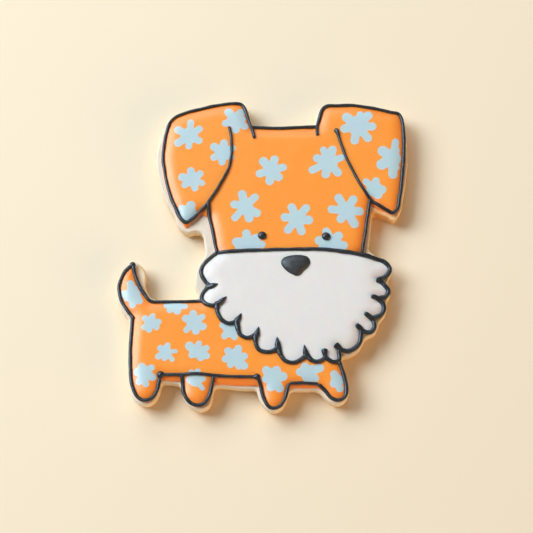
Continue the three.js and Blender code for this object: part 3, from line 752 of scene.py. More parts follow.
class Number:
    """A socket that carries numbers. Its operators add Math nodes."""

    def __init__(self, graph: "Graph", socket: bpy.types.NodeSocket) -> None:
        """Keeps the graph and the socket."""
        self.graph = graph
        self.socket = socket

    def __add__(self, other: "Number | float") -> "Number":
        """Sum."""
        return self.graph.math("ADD", self, other)

    __radd__ = __add__

    def __sub__(self, other: "Number | float") -> "Number":
        """Difference."""
        return self.graph.math("SUBTRACT", self, other)

    def __rsub__(self, other: float) -> "Number":
        """Difference from a plain number."""
        return self.graph.math("SUBTRACT", other, self)

    def __mul__(self, other: "Number | float") -> "Number":
        """Product."""
        return self.graph.math("MULTIPLY", self, other)

    __rmul__ = __mul__

    def eased(self, low: float, high: float) -> "Number":
        """0 below low and 1 above high, with a smooth step between them."""
        settings = {"interpolation_type": "SMOOTHSTEP"}
        return self.graph.number("ShaderNodeMapRange", settings, {0: self, 1: low, 2: high})


class Graph:
    """A material's node graph, with one Principled shader."""

    def __init__(self, name: str, constants: dict[str, object]) -> None:
        """Makes the material and sets what is the same all over on the shader's own sockets."""
        self.material = bpy.data.materials.new(name)
        self.material.use_nodes = True
        self.tree = self.material.node_tree
        self.tree.nodes.clear()
        self.shader = self.node("ShaderNodeBsdfPrincipled", None, constants)
        self.node("ShaderNodeOutputMaterial", None, {"Surface": self.shader.outputs[0]})
        self.place = self.node("ShaderNodeTexCoord").outputs["Object"]

    def connect(self, node: bpy.types.Node, inputs: dict) -> None:
        """Gives each named or numbered socket of a node its value or its link."""
        for key, value in inputs.items():
            source = value.socket if isinstance(value, Number) else value
            if isinstance(source, bpy.types.NodeSocket):
                self.tree.links.new(source, node.inputs[key])
            else:
                node.inputs[key].default_value = source

    def node(self, kind: str, settings: dict | None = None, inputs: dict | None = None) -> bpy.types.Node:
        """Adds any node.

        Args:
            kind: The node's type.
            settings: Its properties, set first.
            inputs: A value or a link for each socket, by name or number.

        Returns:
            The node.
        """
        made = self.tree.nodes.new(kind)
        for key, value in (settings or {}).items():
            setattr(made, key, value)
        self.connect(made, inputs or {})
        return made

    def number(
        self, kind: str, settings: dict | None, inputs: dict | None, output: int | str = 0,
    ) -> Number:
        """Adds a node and takes one of its outputs as a number."""
        return Number(self, self.node(kind, settings, inputs).outputs[output])

    def math(self, operation: str, a: Number | float, b: Number | float) -> Number:
        """A Math node on two numbers."""
        return self.number("ShaderNodeMath", {"operation": operation}, {0: a, 1: b})

    def noise(self, size: float, detail: float = 2.0) -> Number:
        """Noise from 0 to 1 on Object coordinates, with lumps of about a size in millimetres."""
        inputs = {"Vector": self.place, "Scale": 1 / (size * MM), "Detail": detail}
        return self.number("ShaderNodeTexNoise", None, inputs)

    def pits(self, size: float) -> Number:
        """Distance to the nearest of many scattered middles about a size in millimetres apart."""
        inputs = {"Vector": self.place, "Scale": 1 / (size * MM)}
        return self.number("ShaderNodeTexVoronoi", None, inputs)

    def attribute(self, name: str) -> Number:
        """A value stored on the piece's points."""
        return self.number("ShaderNodeAttribute", {"attribute_name": name}, None, "Fac")

    def mix(self, share: Number, a: object, b: object) -> bpy.types.NodeSocket:
        """Colour a where share is 0 and colour b where it is 1."""
        made = self.node("ShaderNodeMix", {"data_type": "RGBA"}, {0: share, 6: a, 7: b})
        return made.outputs[2]

    def bump(
        self, height: Number, depth: float, under: bpy.types.NodeSocket | None = None,
    ) -> bpy.types.NodeSocket:
        """A Bump node: height from 0 to 1 stands for a depth in millimetres, over a bump under it."""
        inputs = {"Height": height, "Distance": depth * MM}
        if under is not None:
            inputs["Normal"] = under
        return self.node("ShaderNodeBump", None, inputs).outputs[0]

    def feed(self, **links: object) -> bpy.types.Material:
        """Links the shader's varying sockets, with underscores for spaces, and gives the material."""
        self.connect(self.shader, {key.replace("_", " "): value for key, value in links.items()})
        return self.material


def shade(red: float, green: float, blue: float) -> Colour:
    """A colour given as it looks on a screen, from 0 to 255, as the linear light that shaders use."""
    values = np.array([red, green, blue]) / 255
    linear = np.where(values <= 0.04045, values / 12.92, ((values + 0.055) / 1.055) ** 2.4)
    return (*linear.tolist(), 1.0)


# Finishes

# The values stored on points: how far inside a flower, how much shade is painted near the
# icing's rim, and how toasted the dough is, with painted shade added to its toast
PRINT = "print_inset"
PAINTED_RIM_SHADE = "rim"
TOAST_AND_SHADE = "toast_and_shade"


@dataclass(frozen=True)
class IcingFinish:
    """Dried royal icing: satin, with shade painted as a deeper colour at its rim, faint mottling and a
    soft orange peel.
    """

    name: str
    colour: Colour
    mottled: Colour
    # The painted shade: the deeper colour laid on near the rim as shade
    painted_shade: Colour
    roughness: float = 0.32
    peel: float = 0.006
    depth: float = 0.35
    radius: tuple[float, float, float] = (1.2, 0.45, 0.2)
    printed: Colour | None = None
    print_edge: float = 0.14

    def material(self) -> bpy.types.Material:
        """Two shades by a slow noise, a painted shade at the rim, and the print inside the flowers."""
        graph = Graph(self.name, {
            "IOR": 1.58, "Subsurface Weight": self.depth, "Subsurface Radius": self.radius,
            "Subsurface Scale": MM,
        })
        colour = graph.mix(graph.noise(5.0), self.colour, self.mottled)
        # Painted shade: the colour deepens towards the icing's rim, most where the rim faces away from
        # the light
        colour = graph.mix(graph.attribute(PAINTED_RIM_SHADE).eased(0.0, 1.0), colour, self.painted_shade)
        if self.printed is not None:
            inside = graph.attribute(PRINT).eased(-self.print_edge, self.print_edge)
            colour = graph.mix(inside, colour, self.printed)
        roughness = self.roughness + 0.1 * (graph.noise(1.2, 3.0) - 0.5)
        peel = graph.bump(graph.noise(0.9, 3.0), self.peel)
        return graph.feed(Base_Color=colour, Roughness=roughness, Normal=peel)


@dataclass(frozen=True)
class PipedFinish:
    """Charcoal piped icing: a bluish satin with small lumps left by the nozzle."""

    name: str = "charcoal_piping"
    colour: Colour = shade(36, 40, 43)
    # Paler bluish patches, scattered at random by a noise
    paler_patches: Colour = shade(56, 63, 68)
    roughness: float = 0.3

    def material(self) -> bpy.types.Material:
        """Builds the material: paler bluish patches on charcoal, scattered at random, and two sizes of
        lumps.
        """
        graph = Graph(self.name, {"IOR": 1.6, "Specular Tint": shade(214, 232, 255)})
        colour = graph.mix(graph.noise(0.8, 3.0).eased(0.4, 0.75), self.colour, self.paler_patches)
        roughness = self.roughness + 0.2 * (graph.noise(0.6, 2.0) - 0.5)
        lumps = graph.bump(graph.noise(0.7, 2.0), 0.05)
        fine = graph.bump(graph.noise(0.2, 2.0), 0.008, lumps)
        return graph.feed(Base_Color=colour, Roughness=roughness, Normal=fine)


@dataclass(frozen=True)
class DoughFinish:
    """Baked sugar dough: cream on top, toasted low on its side and underneath, with shade painted as more
    toast, and with crumb and pits.
    """

    name: str = "baked_sugar_dough"
    cream: Colour = shade(235, 226, 210)
    golden: Colour = shade(248, 214, 160)
    toasted: Colour = shade(240, 184, 119)

    def material(self) -> bpy.types.Material:
        """Builds the material: toast and the painted shade in it by the stored share and a noise, then
        crumb and pits as relief.
        """
        graph = Graph(self.name, {"IOR": 1.4})
        # The stored share holds the real toast and the shade painted onto it
        toast_and_shade = graph.attribute(TOAST_AND_SHADE) + 0.5 * (graph.noise(2.4, 4.0) - 0.5)
        pale = graph.mix(toast_and_shade.eased(0.0, 0.55), self.cream, self.golden)
        colour = graph.mix(toast_and_shade.eased(0.5, 1.05), pale, self.toasted)
        crumb = graph.bump(graph.noise(0.55, 4.0), 0.12)
        pitted = graph.bump(graph.pits(0.7).eased(0.05, 0.4), 0.05, crumb)
        return graph.feed(Base_Color=colour, Roughness=0.82 + 0.16 * graph.noise(0.8), Normal=pitted)


# Pieces of the cookie


def add_piece(
    name: str, surface: Surface, material: bpy.types.Material, node: str,
) -> None:
    """Adds a piece that rides on the cookie's one body and stands for a solid.

    Args:
        name: The piece's name.
        surface: Its surface.
        material: Its finish.
        node: The solid that it replaces.
    """
    piece = add_object(name, write_mesh(name, surface))
    piece.data.materials.append(material)
    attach(piece, "root")
    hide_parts(node)
    LOG.info("%s: %d faces", name, len(surface.faces))


@dataclass
class Dough:
    """The baked slab: a cut outline with a rounded, slightly uneven side, with shade painted as more
    toast towards the right, away from the light.
    """

    step: float = 0.5
    rounding: int = 6
    rows: int = 30
    foot: Pair = (1.0, 7)
    bulge: Pair = (0.25, 2)
    crown: Pair = (0.45, 14)
    edge_rows: tuple[float, ...] = (0.3,)
    spacing: float = 0.62
    under_spacing: float = 1.1
    side_relief: tuple[Layer, ...] = (
        Layer(waves, 0.1, 11.0, 3), Layer(grain, 0.05, 1.6, 5), Layer(grain, 0.035, 0.8, 6),
    )
    top_relief: tuple[Layer, ...] = (Layer(grain, 0.05, 1.9, 8), Layer(grain, 0.03, 0.9, 9))
    top_drop: float = 0.02
    toast_at_foot: float = 0.85
    toast_lost: float = 0.9
    toast_on_top: float = -0.1
    toast_under: float = 0.95
    # Painted shade laid on as more toast where the edge faces right, away from the light: its share on
    # the top half, its share low down, and that direction
    shade_as_toast: float = 0.35
    shade_as_toast_low: float = 0.3
    shade_as_toast_towards: Pair = (0.98, 0.17)

    def outline(self) -> np.ndarray:
        """The dough's outline: the outer lines and the strips between the legs, each moved out."""
        cheek_left = scallop_run(LAST_ON_BODY + 1)[::-1] + scallop_run(LAST_ON_BODY)[-3:-1][::-1]
        before = [CHEEK_RIGHT_MARGIN] + NOTCH_MARGINS[:-1]
        cheek_right = [
            Run(scallop_run(i)[::-1], [margin, DOUGH_MARGIN, DOUGH_MARGIN, before[i]])
            for i, margin in enumerate(NOTCH_MARGINS)
        ][::-1]
        runs = [
            Run(LEG_1[:-2], LEG_1_MARGINS), Run(SKIRT_12, LOW_SKIRT_MARGINS),
            Run(LEG_2[1:-1], LEG_2_MARGINS), Run(SKIRT_23, LOW_SKIRT_MARGINS),
            Run(LEG_3[1:-1], LEG_3_MARGINS), Run(SKIRT_34, SKIRT_MARGIN),
            Run(LEG_4[1:], LEG_4_MARGINS), *cheek_right,
            Run([SCALLOP_ARCS[0][0], BEARD_TOP[-1]], CHEEK_RIGHT_MARGIN),
            Run(HEAD_RIGHT, HEAD_RIGHT_MARGINS), Run(EAR_RIGHT_RIM, EAR_RIGHT_MARGINS),
            Run(HEAD_TOP, DOUGH_MARGIN), Run(EAR_LEFT_RIM, EAR_LEFT_MARGINS),
            Run(HEAD_LEFT[2:], HEAD_LEFT_MARGINS), Run(cheek_left, CHEEK_LEFT_MARGINS),
            Run(BACK, DOUGH_MARGIN), Run(TAIL_RIGHT, TAIL_RIGHT_MARGINS),
            Run(TAIL_LEFT[:-1], TAIL_LEFT_MARGINS),
        ]
        return swollen(join_runs(runs, self.step, self.rounding), DOUGH_BUMPS)

    def side(self) -> list[Pair]:
        """The side's rows: a rounded foot, a slight bulge and a softer upper edge.

        Height runs from 0 to the dough's top with rows closer together at both ends. The foot,
        the bulge and the crown each add their depth times a power of how near the height is to
        the underside, or for the crown to the top.
        """
        t = 0.5 - 0.5 * np.cos(np.pi * np.linspace(0, 1, self.rows))
        shares = ((1 - t, self.foot), (1 - t, self.bulge), (t, self.crown))
        inset = sum(depth * near**power for near, (depth, power) in shares)
        return list(zip(inset.tolist(), (t * DOUGH_TOP).tolist()))

    def surface(self) -> Surface:
        """The slab with its relief, and how toasted each point is, with painted shade and shadow in it.

        The relief moves the side outwards and the top upwards. Toast is fullest at the foot and
        underneath and fades up the side. Shade is painted onto it as more toast where the edge
        faces right, away from the light, and painted shadow by a bell round each listed place.
        """
        outline = self.outline()
        made, top = slab(outline, self.side(), self.edge_rows, self.spacing, self.under_spacing)
        height = made.points[:, 2] / DOUGH_TOP
        upper = height > 0.5
        wall = np.arange(len(made.points)) < len(outline) * self.rows
        away = np.tile(outward(outline), (self.rows, 1))
        made.points[wall, :2] += away * relief(made.points[wall], self.side_relief)[:, None]
        made.points[top, 2] += relief(made.points[top], self.top_relief) - self.top_drop
        level = np.where(upper, self.toast_on_top, self.toast_under)
        toast_and_shade = np.where(wall, self.toast_at_foot - self.toast_lost * height, level)
        # Painted shade: more toast where the edge faces right, away from the light, and painted shadow
        # round the listed places
        shade_as_toast = self.shade_as_toast * facing(made.points[:, :2], outline, self.shade_as_toast_towards)
        toast_and_shade += shade_as_toast * np.where(upper, 1, self.shade_as_toast_low)
        made.values[TOAST_AND_SHADE] = toast_and_shade + bells(made.points[:, :2], PAINTED_SHADOW_SPOTS)
        return made


@dataclass
class Flood:
    """One flooded icing: a soft cushion whose edge lies under the piped lines, with shade painted deeper
    near that edge.
    """

    area: Area
    runs: list[Run]
    seams: list[list]
    seed: int
    flowers: tuple[Flower, ...] = ()
    bumps: list = field(default_factory=list)
    thickness: float = 2.0
    land: float = 0.7
    shoulder: float = 5.5
    fullness: float = 2.6
    edge_height: float = 0.4
    edge_round: float = 0.5
    edge_rows: tuple[float, ...] = (0.07, 0.17, 0.32)
    wall: tuple[Pair, ...] = ((0.1, -0.25), (0.03, 0.05), (0.0, 0.25))
    dip: float = 0.12
    dip_reach: float = 1.6
    dip_blend: float = 0.8
    step: float = 0.3
    spacing: float = 0.31
    under_spacing: float = 2.0
    rounding: int = 2
    evening: int = 30
    still: float = 0.6
    still_blend: float = 0.8
    swells: tuple[Pair, ...] = ((0.022, 12.0), (0.008, 4.0))
    seam_step: float = 0.2
    seam_reach: float = 0.9
    seam_slack: float = 0.06
    petal_root: float = 0.86
    print_blend: float = 0.18
    # Painted shade near the open edge: its share everywhere, its extra share where the edge faces the
    # lower right (away from the light), how far in it reaches, and that direction
    painted_shade: Pair = (0.75, 0.4)
    painted_shade_reach: float = 4.5
    painted_shade_towards: Pair = (0.8, -0.6)
    top: np.ndarray = field(default_factory=lambda: np.empty((0, 3)))

    def height(self, inset: np.ndarray, open_inset: np.ndarray) -> np.ndarray:
        """Height above the dough at an inset from the edge, and from the edge's open part.

        From the land it rises by one minus a power of the share left of the shoulder, steepest
        at the open edge. Over the first part of a millimetre a quarter of an ellipse rounds the
        edge. Where another icing touches it is level, but for a slight dip to the joint.
        """
        left = 1 - np.clip(open_inset / self.shoulder, 0, 1)
        full = self.land + (self.thickness - self.land) * (1 - left**self.fullness)
        near = 1 - np.clip(open_inset / self.edge_round, 0, 1)
        dip = self.dip * (1 - np.clip(inset / self.dip_reach, 0, 1)) ** 2
        joined = np.clip((open_inset - inset) / self.dip_blend, 0, 1)
        return self.edge_height + (full - self.edge_height) * np.sqrt(1 - near**2) - dip * joined

    def from_open_edge(self, places: np.ndarray, inset: np.ndarray, outline: np.ndarray) -> np.ndarray:
        """How far each place lies inside the part of the outline that no other icing touches.

        It is the inset from the whole outline, plus how much further off the nearest place of
        the outline away from the seams is.
        """
        seam = np.concatenate([smooth_line(line, self.seam_step) for line in self.seams])
        apart = np.linalg.norm(outline - seam[nearest(outline, seam)], axis=1)
        open_edge = outline[apart > self.seam_reach]
        away = np.linalg.norm(places - open_edge[nearest(places, open_edge)], axis=1)
        return inset + np.maximum(away - inset - self.seam_slack, 0)

    def print_inset(self, places: np.ndarray) -> np.ndarray:
        """How far each place lies inside the nearest flower, negative outside.

        A petal is a stroke from the flower's middle to its end that widens slightly outwards,
        and the middle is a disc. Their distances are joined by a minimum that is rounded off
        where two of them meet: minus the logarithm of the sum of their exponentials, which are
        held within what a number can carry.
        """
        best = np.full(len(places), 1e3)
        for flower in self.flowers:
            middle = np.array([flower.x, flower.y])
            petals = np.array(flower.petals)
            along = petals[:, :2] - middle
            away = places[:, None] - middle
            share = np.clip((away * along).sum(2) / (along**2).sum(1), 0, 1)
            radius = petals[:, 2] * (self.petal_root + (1 - self.petal_root) * share)
            strokes = np.linalg.norm(away - share[..., None] * along, axis=2) - radius
            disc = np.linalg.norm(places - middle, axis=1) - flower.body
            nearby = np.exp(np.minimum(-np.column_stack([strokes, disc]) / self.print_blend, 300))
            best = np.minimum(best, -self.print_blend * np.log(nearby.sum(1) + 1e-300))
        return -best

    def surface(self) -> Surface:
        """The cushion, evened out along its middle lines, with faint swells.

        It stores the print's inset, and how much shade is painted into its colour: all of the given
        share at the open edge, a little more where that edge faces the lower right, away from the
        light, and none further in than the reach. Points near the edge keep still while the others
        are evened out.
        """
        outline = swollen(join_runs(self.runs, self.step, self.rounding), self.bumps)
        side = [(inset, DOUGH_TOP + z) for inset, z in (*self.wall, (0.0, self.edge_height))]
        made, top = slab(outline, side, self.edge_rows, self.spacing, self.under_spacing)
        rim = np.arange(len(outline)) + len(outline) * (len(side) - 1)
        shaped = np.concatenate([rim, top])
        inset = np.maximum(inset_of(made.points[shaped, :2], outline), 0)
        open_inset = self.from_open_edge(made.points[shaped, :2], inset, outline)
        made.points[shaped, 2] = DOUGH_TOP + self.height(inset, open_inset)
        # Painted shade: the colour deepens near the open edge, more where it faces away from the light
        even, more = self.painted_shade
        painted_shade = even + more * facing(made.points[:, :2], outline, self.painted_shade_towards)
        painted_shade[shaped] *= 1 - np.clip(open_inset / self.painted_shade_reach, 0, 1)
        made.values[PAINTED_RIM_SHADE] = painted_shade
        moving = np.zeros(len(made.points))
        moving[top] = np.clip((inset[len(rim) :] - self.still) / self.still_blend, 0, 1)
        relax(made, moving, self.evening)
        layers = tuple(Layer(waves, *swell, self.seed + i) for i, swell in enumerate(self.swells))
        made.points[top, 2] += relief(made.points[top, :2], layers) * moving[top]
        self.top = made.points[top]
        if self.flowers:
            made.values[PRINT] = self.print_inset(made.points[:, :2])
        return made


@dataclass(frozen=True)
class IcingTop:
    """The top of the icing, or of the dough beside it, that lines and dots rest on."""

    tops: list[np.ndarray]
    reach: float = 0.6

    def height(self, places: np.ndarray) -> np.ndarray:
        """The highest of the icings' nearest top points within the reach, or the dough's top."""
        found = np.full(len(places), DOUGH_TOP)
        for top in self.tops:
            near = top[nearest(places, top[:, :2], chunk=400)]
            apart = np.linalg.norm(near[:, :2] - places, axis=1)
            found = np.where(apart < self.reach, np.maximum(found, near[:, 2]), found)
        return found


@dataclass(frozen=True)
class Bead:
    """One piped stroke: its points, how it starts and ends, and how full it is along its length."""

    points: list
    start: End = End.ROUND
    end: End = End.ROUND
    fullness: float | list = 1.0


@dataclass
class Piping:
    """The piped lines of one area, fused where they meet."""

    area: Area
    beads: list[Bead]
    width: float
    seed: int
    blobs: list = field(default_factory=list)
    rise: float = 0.98
    fullest_rise: float = 1.1
    widest_at: float = 0.28
    roundness: float = 0.9
    sink: float = 0.3
    settling: int = 60
    step: float = 0.16
    around: int = 20
    uneven: tuple[Pair, ...] = ((0.05, 6.0), (0.055, 4.5), (0.06, 5.5))
    thinnest: float = 0.03
    wedge_power: float = 0.8
    fade: float = 0.8
    drop_around: int = 24
    drop_rows: int = 14
    drop_pole: float = 0.02
    drop_lift: float = 0.3
    drop_rise: float = 0.74
    voxel: float = 0.125

    def unevenness(self, line: np.ndarray, part: int) -> np.ndarray:
        """Slow waves along a line, of its route (part 0), its width (1) or its height (2)."""
        height, length = self.uneven[part]
        return height * waves(line, length, self.seed + part)

    def taper(self, away: np.ndarray, end: End) -> np.ndarray:
        """How full a line is at a distance from its end: from the end's last share to 1.

        It narrows as a circle does, or by a power of the distance for a wedge. A swelling adds
        its share at the end and fades out over a little more than twice the narrowing's length.
        """
        length, least, swelling = end.value
        share = np.clip(away / length, 0, 1)
        shape = share**self.wedge_power if end is End.WEDGE else np.sqrt(1 - (1 - share) ** 2)
        fuller = 1 + swelling * np.sqrt(1 - np.clip(away / (2 * length + self.fade), 0, 1))
        return (least + (1 - least) * np.maximum(shape, self.thinnest)) * fuller

    def tube(self, bead: Bead, floor: IcingTop) -> Surface:
        """A closed tube along a stroke.

        Round each place runs a loop. Across, it is half the width times the cosine of the turn.
        Upwards from where it is widest, it is the rest of the rise times a power of the sine,
        and downwards, into the icing, the sink times the sine. All follow how full the stroke
        is: its fullness times the taper at its start and the taper at its end.
        """
        line = smooth_line(bead.points, self.step)
        chord = np.gradient(line, axis=0)
        left = np.stack([-chord[:, 1], chord[:, 0]], 1)
        left /= np.linalg.norm(left, axis=1, keepdims=True)
        line = line + left * self.unevenness(line, 0)[:, None]
        travelled = np.arange(len(line)) * self.step
        full = self.taper(travelled, bead.start) * self.taper(travelled[-1] - travelled, bead.end)
        full = full * spread(bead.fullness, len(line))
        half = 0.5 * self.width * full * (1 + self.unevenness(line, 1))
        rise = self.rise * np.minimum(full, self.fullest_rise) * (1 + self.unevenness(line, 2))
        base = floor.height(line)
        for _ in range(self.settling):
            base[1:-1] = 0.5 * base[1:-1] + 0.25 * (base[:-2] + base[2:])
        turn = np.linspace(0, 2 * np.pi, self.around, endpoint=False)
        up = np.where(np.sin(turn) > 0, np.abs(np.sin(turn)) ** self.roundness, np.sin(turn))
        above = rise[:, None] * up * (1 - self.widest_at)
        lift = np.where(up > 0, above, self.sink * full[:, None] * up)
        across = half[:, None] * np.cos(turn)
        middle = base + self.widest_at * rise
        sides = line[:, None] + left[:, None] * across[..., None]
        rows = np.concatenate([sides, (middle[:, None] + lift)[..., None]], 2)
        return capped(rows, np.column_stack([line, middle])[[0, -1]])

    def blob(self, place: list, floor: IcingTop) -> Surface:
        """A round drop where the nozzle rested: a flattened ball half sunk in the line."""
        turn = np.linspace(0, 2 * np.pi, self.drop_around, endpoint=False)
        climb = np.linspace(-np.pi / 2, np.pi / 2, self.drop_rows)
        t, c = np.meshgrid(turn, climb)
        base = floor.height(np.array([place[:2]]))[0]
        radius = place[2] * np.maximum(np.cos(c), self.drop_pole)
        x, y = place[0] + radius * np.cos(t), place[1] + radius * np.sin(t)
        z = base + self.drop_lift + self.drop_rise * place[2] * np.sin(c)
        return capped(np.stack([x, y, z], 2))

    def surface(self, floor: IcingTop) -> Surface:
        """All strokes and drops, fused by a fine voxel remesh and evened out where they meet."""
        parts = [self.tube(bead, floor) for bead in self.beads]
        parts += [self.blob(place, floor) for place in self.blobs]
        starts = np.cumsum([0] + [len(part.points) for part in parts[:-1]])
        fused = Surface(
            np.concatenate([part.points for part in parts]),
            np.concatenate([part.faces + start for part, start in zip(parts, starts)]),
        )
        return remeshed(fused, self.voxel)


@dataclass
class Dot:
    """An eye: a drop of icing that settled into a low ball."""

    place: list
    seed: int
    radius: float = 1.36
    rise: float = 0.816
    squareness: float = 0.86
    sunk: float = 0.12
    middle: float = 0.34
    climb: Pair = (-0.42, math.pi / 2 - 0.02)
    lumps: Pair = (0.02, 0.012)
    rings: int = 26
    around: int = 48

    def surface(self, floor: IcingTop) -> Surface:
        """A loop at each climb from the base's edge to the top: a superellipse, a little uneven.

        The unevenness is two sines of the turn, with two and three lumps to a loop.
        """
        base = floor.height(np.array([self.place]))[0] - self.sunk
        turn = np.linspace(0, 2 * np.pi, self.around, endpoint=False)
        t, c = np.meshgrid(turn, np.linspace(*self.climb, self.rings))
        two, three = self.lumps
        uneven = 1 + two * np.sin(2 * t + self.seed) + three * np.sin(3 * t + 2 * self.seed)
        reach = self.radius * np.cos(c) ** self.squareness * uneven
        x, y = self.place[0] + reach * np.cos(t), self.place[1] + reach * np.sin(t)
        return capped(np.stack([x, y, base + self.middle + self.rise * np.sin(c)], 2))


@dataclass
class Nose:
    """The nose: a flat-topped drop with rounded corners and a blunt point below."""

    rise: float = 1.2
    step: float = 0.14
    rings: int = 30
    crowding: float = 1.3
    drawn_in: float = 0.985
    steepness: Pair = (2.6, 0.6)
    sunk: float = 0.15
    foot: float = 0.2
    lumps: Pair = (0.02, 3.0)
    spread: Pair = (1.04, 1.01)
    shift: Pair = (0.0, -0.25)
    seed: int = 90

    def surface(self, floor: IcingTop) -> Surface:
        """Rings of the spread and shifted outline, drawn in towards its middle.

        The share of the way in runs from 0 to 1, and the height is the rise times a power of
        one minus the share left to a power, which gives a steep edge and a nearly flat top. Two
        rows at the outline make the foot.
        """
        outline = smooth_line(NOSE, self.step, closed=True)
        middle = outline.mean(0)
        outline = middle + (outline - middle) * self.spread + self.shift
        middle = outline.mean(0)
        share = np.linspace(0, 1, self.rings)[:, None] ** self.crowding
        foot = np.concatenate([outline * self.drawn_in + middle * (1 - self.drawn_in), outline])
        inner = middle + (outline - middle)[None] * (1 - share[1:, :, None] * self.drawn_in)
        rows = np.concatenate([foot.reshape(2, -1, 2), inner])
        left = np.concatenate([np.ones(2), 1 - share[1:, 0]])
        outer, inmost = self.steepness
        rise = self.rise * (1 - left**outer) ** inmost
        height, size = self.lumps
        lumps = height * waves(rows.reshape(-1, 2), size, self.seed).reshape(rows.shape[:2])
        base = floor.height(middle[None])[0] - self.sunk
        z = base + self.foot + (rise[:, None] + lumps * (rise[:, None] > 0))
        z[0] = base
        return capped(np.concatenate([rows, z[..., None]], 2))


def head_flood() -> Flood:
    """The orange icing of the head and both ears."""
    runs = [
        Run(BEARD_TOP[:-1], CLEAR_OF_BEARD), Run(HEAD_RIGHT, UNDER_LINE), Run(EAR_RIGHT_RIM, UNDER_LINE),
        Run(HEAD_TOP, UNDER_LINE), Run(EAR_LEFT_RIM, UNDER_EAR_LINE), Run(EAR_LEFT_WEB),
        Run(HEAD_LEFT[1:], UNDER_LINE),
    ]
    return Flood(Area.HEAD, runs, [BEARD_TOP], seed=21, flowers=HEAD_FLOWERS, bumps=SPILLS)


def beard_flood() -> Flood:
    """The white icing of the beard, whose seams are the line over the muzzle and the chin's scallops."""
    scallops = [Run(scallop_run(i)[::-1], UNDER_SCALLOPS) for i in range(len(SCALLOP_ARCS))][::-1]
    runs = scallops + [Run(BEARD_TOP[::-1], UNDER_SCALLOPS)]
    chin = [p for i in range(FIRST_ON_BODY, LAST_ON_BODY + 1) for p in scallop_run(i)[:-1]][2:-1]
    # The beard's painted shade lies only on edges that face away from the light
    return Flood(
        Area.BEARD, runs, [BEARD_TOP, chin], seed=23, thickness=2.1, land=0.8, shoulder=5.2,
        fullness=2.2, rounding=1, evening=60, dip=0.3, painted_shade=(0, 0.95),
    )


def body_flood() -> Flood:
    """The orange icing of the body, the tail and the legs, with the strips between the legs."""
    chin = [p for arc in SCALLOP_ARCS[FIRST_ON_BODY : LAST_ON_BODY + 1] for p in arc][1:-1]
    legs = [
        Run(LEG_1[:-2], UNDER_LINE), Run(SKIRT_12), Run(LEG_2[1:-1], UNDER_LINE), Run(SKIRT_23),
        Run(LEG_3[1:-1], UNDER_LINE), Run(SKIRT_34), Run(LEG_4[1:], UNDER_LINE),
    ]
    above = [Run(chin, CLEAR_OF_BEARD)]
    above += [Run(line, UNDER_LINE) for line in (BACK, TAIL_RIGHT, TAIL_LEFT[:-1])]
    return Flood(Area.BODY, legs + above, [chin], seed=25, flowers=BODY_FLOWERS)


def head_piping() -> Piping:
    """The lines round the ears and the head."""
    beads = [
        Bead(
            EAR_LEFT_ROOT + EAR_LEFT_RIM + EAR_LEFT_FLAP,
            fullness=[1.1, 1.03, 0.97, 0.95, 1.2, 0.88, 0.88],
        ),
        Bead(
            EAR_RIGHT_FLAP + EAR_RIGHT_RIM + EAR_RIGHT_ROOT, End.KNOB,
            fullness=[0.95, 0.9, 0.92, 1.2, 1.2, 1.2, 1.2, 1.05, 1, 1.15, 0.95],
        ),
        Bead(HEAD_TOP, fullness=1.05),
        Bead(HEAD_LEFT + [BEARD_TOP[0]], fullness=[1.25, 1.15, 1.05, 1]),
        Bead([HEAD_RIGHT_FOOT] + HEAD_RIGHT, fullness=1.08),
    ]
    return Piping(Area.HEAD, beads, width=1.06, seed=41, blobs=FLAP_DROPS)


def beard_piping() -> Piping:
    """The line over the muzzle and one stroke for each scallop, drawn out into its tick."""
    ends = [End.KNOB] + 3 * [End.SOFT] + 2 * [End.KNOB] + 6 * [End.WEDGE] + [End.ROUND]
    beads = []
    for i, (arc, tick, end) in enumerate(zip(SCALLOP_ARCS, TICKS, ends)):
        start = [NOTCHES[i - 1]] if i > 0 else BEARD_TOP
        finish = [NOTCHES[i]] + tick if tick else [BEARD_TOP[0]]
        fullness = FULLNESS.get(i, EDGE_FULLNESS if i < FIRST_ON_BODY else 1.0)
        beads.append(Bead(start + arc + finish, end=end, fullness=fullness))
    return Piping(Area.BEARD, beads, width=1.36, seed=43, sink=0.6)


def body_piping() -> Piping:
    """The lines of the tail, the back, the belly and the legs."""
    beads = [
        Bead(LEG_1, fullness=[0.9, 0.95, 1]),
        Bead(LEG_2),
        Bead(LEG_3, fullness=0.95),
        Bead(BELLY_34, fullness=0.85),
        Bead(LEG_4, fullness=[0.95, 0.95, 1.1, 1.1]),
        Bead(BELLY, fullness=[0.88, 0.9, 0.9, 0.82, 0.78]),
        Bead([BACK_END] + BACK + TAIL_RIGHT[1:], fullness=[0.88, 0.88, 0.9, 1, 1]),
        Bead(TAIL_LEFT, fullness=0.92),
    ]
    return Piping(Area.BODY, beads, width=1.26, seed=45, blobs=REST_DROPS)


# Studio


@dataclass(frozen=True)
class Softbox:
    """An area light that faces the cookie: where it hangs, its width and height, power and colour."""

    name: str
    place: tuple[float, float, float]
    width: float
    height: float
    power: float
    colour: tuple[float, float, float]


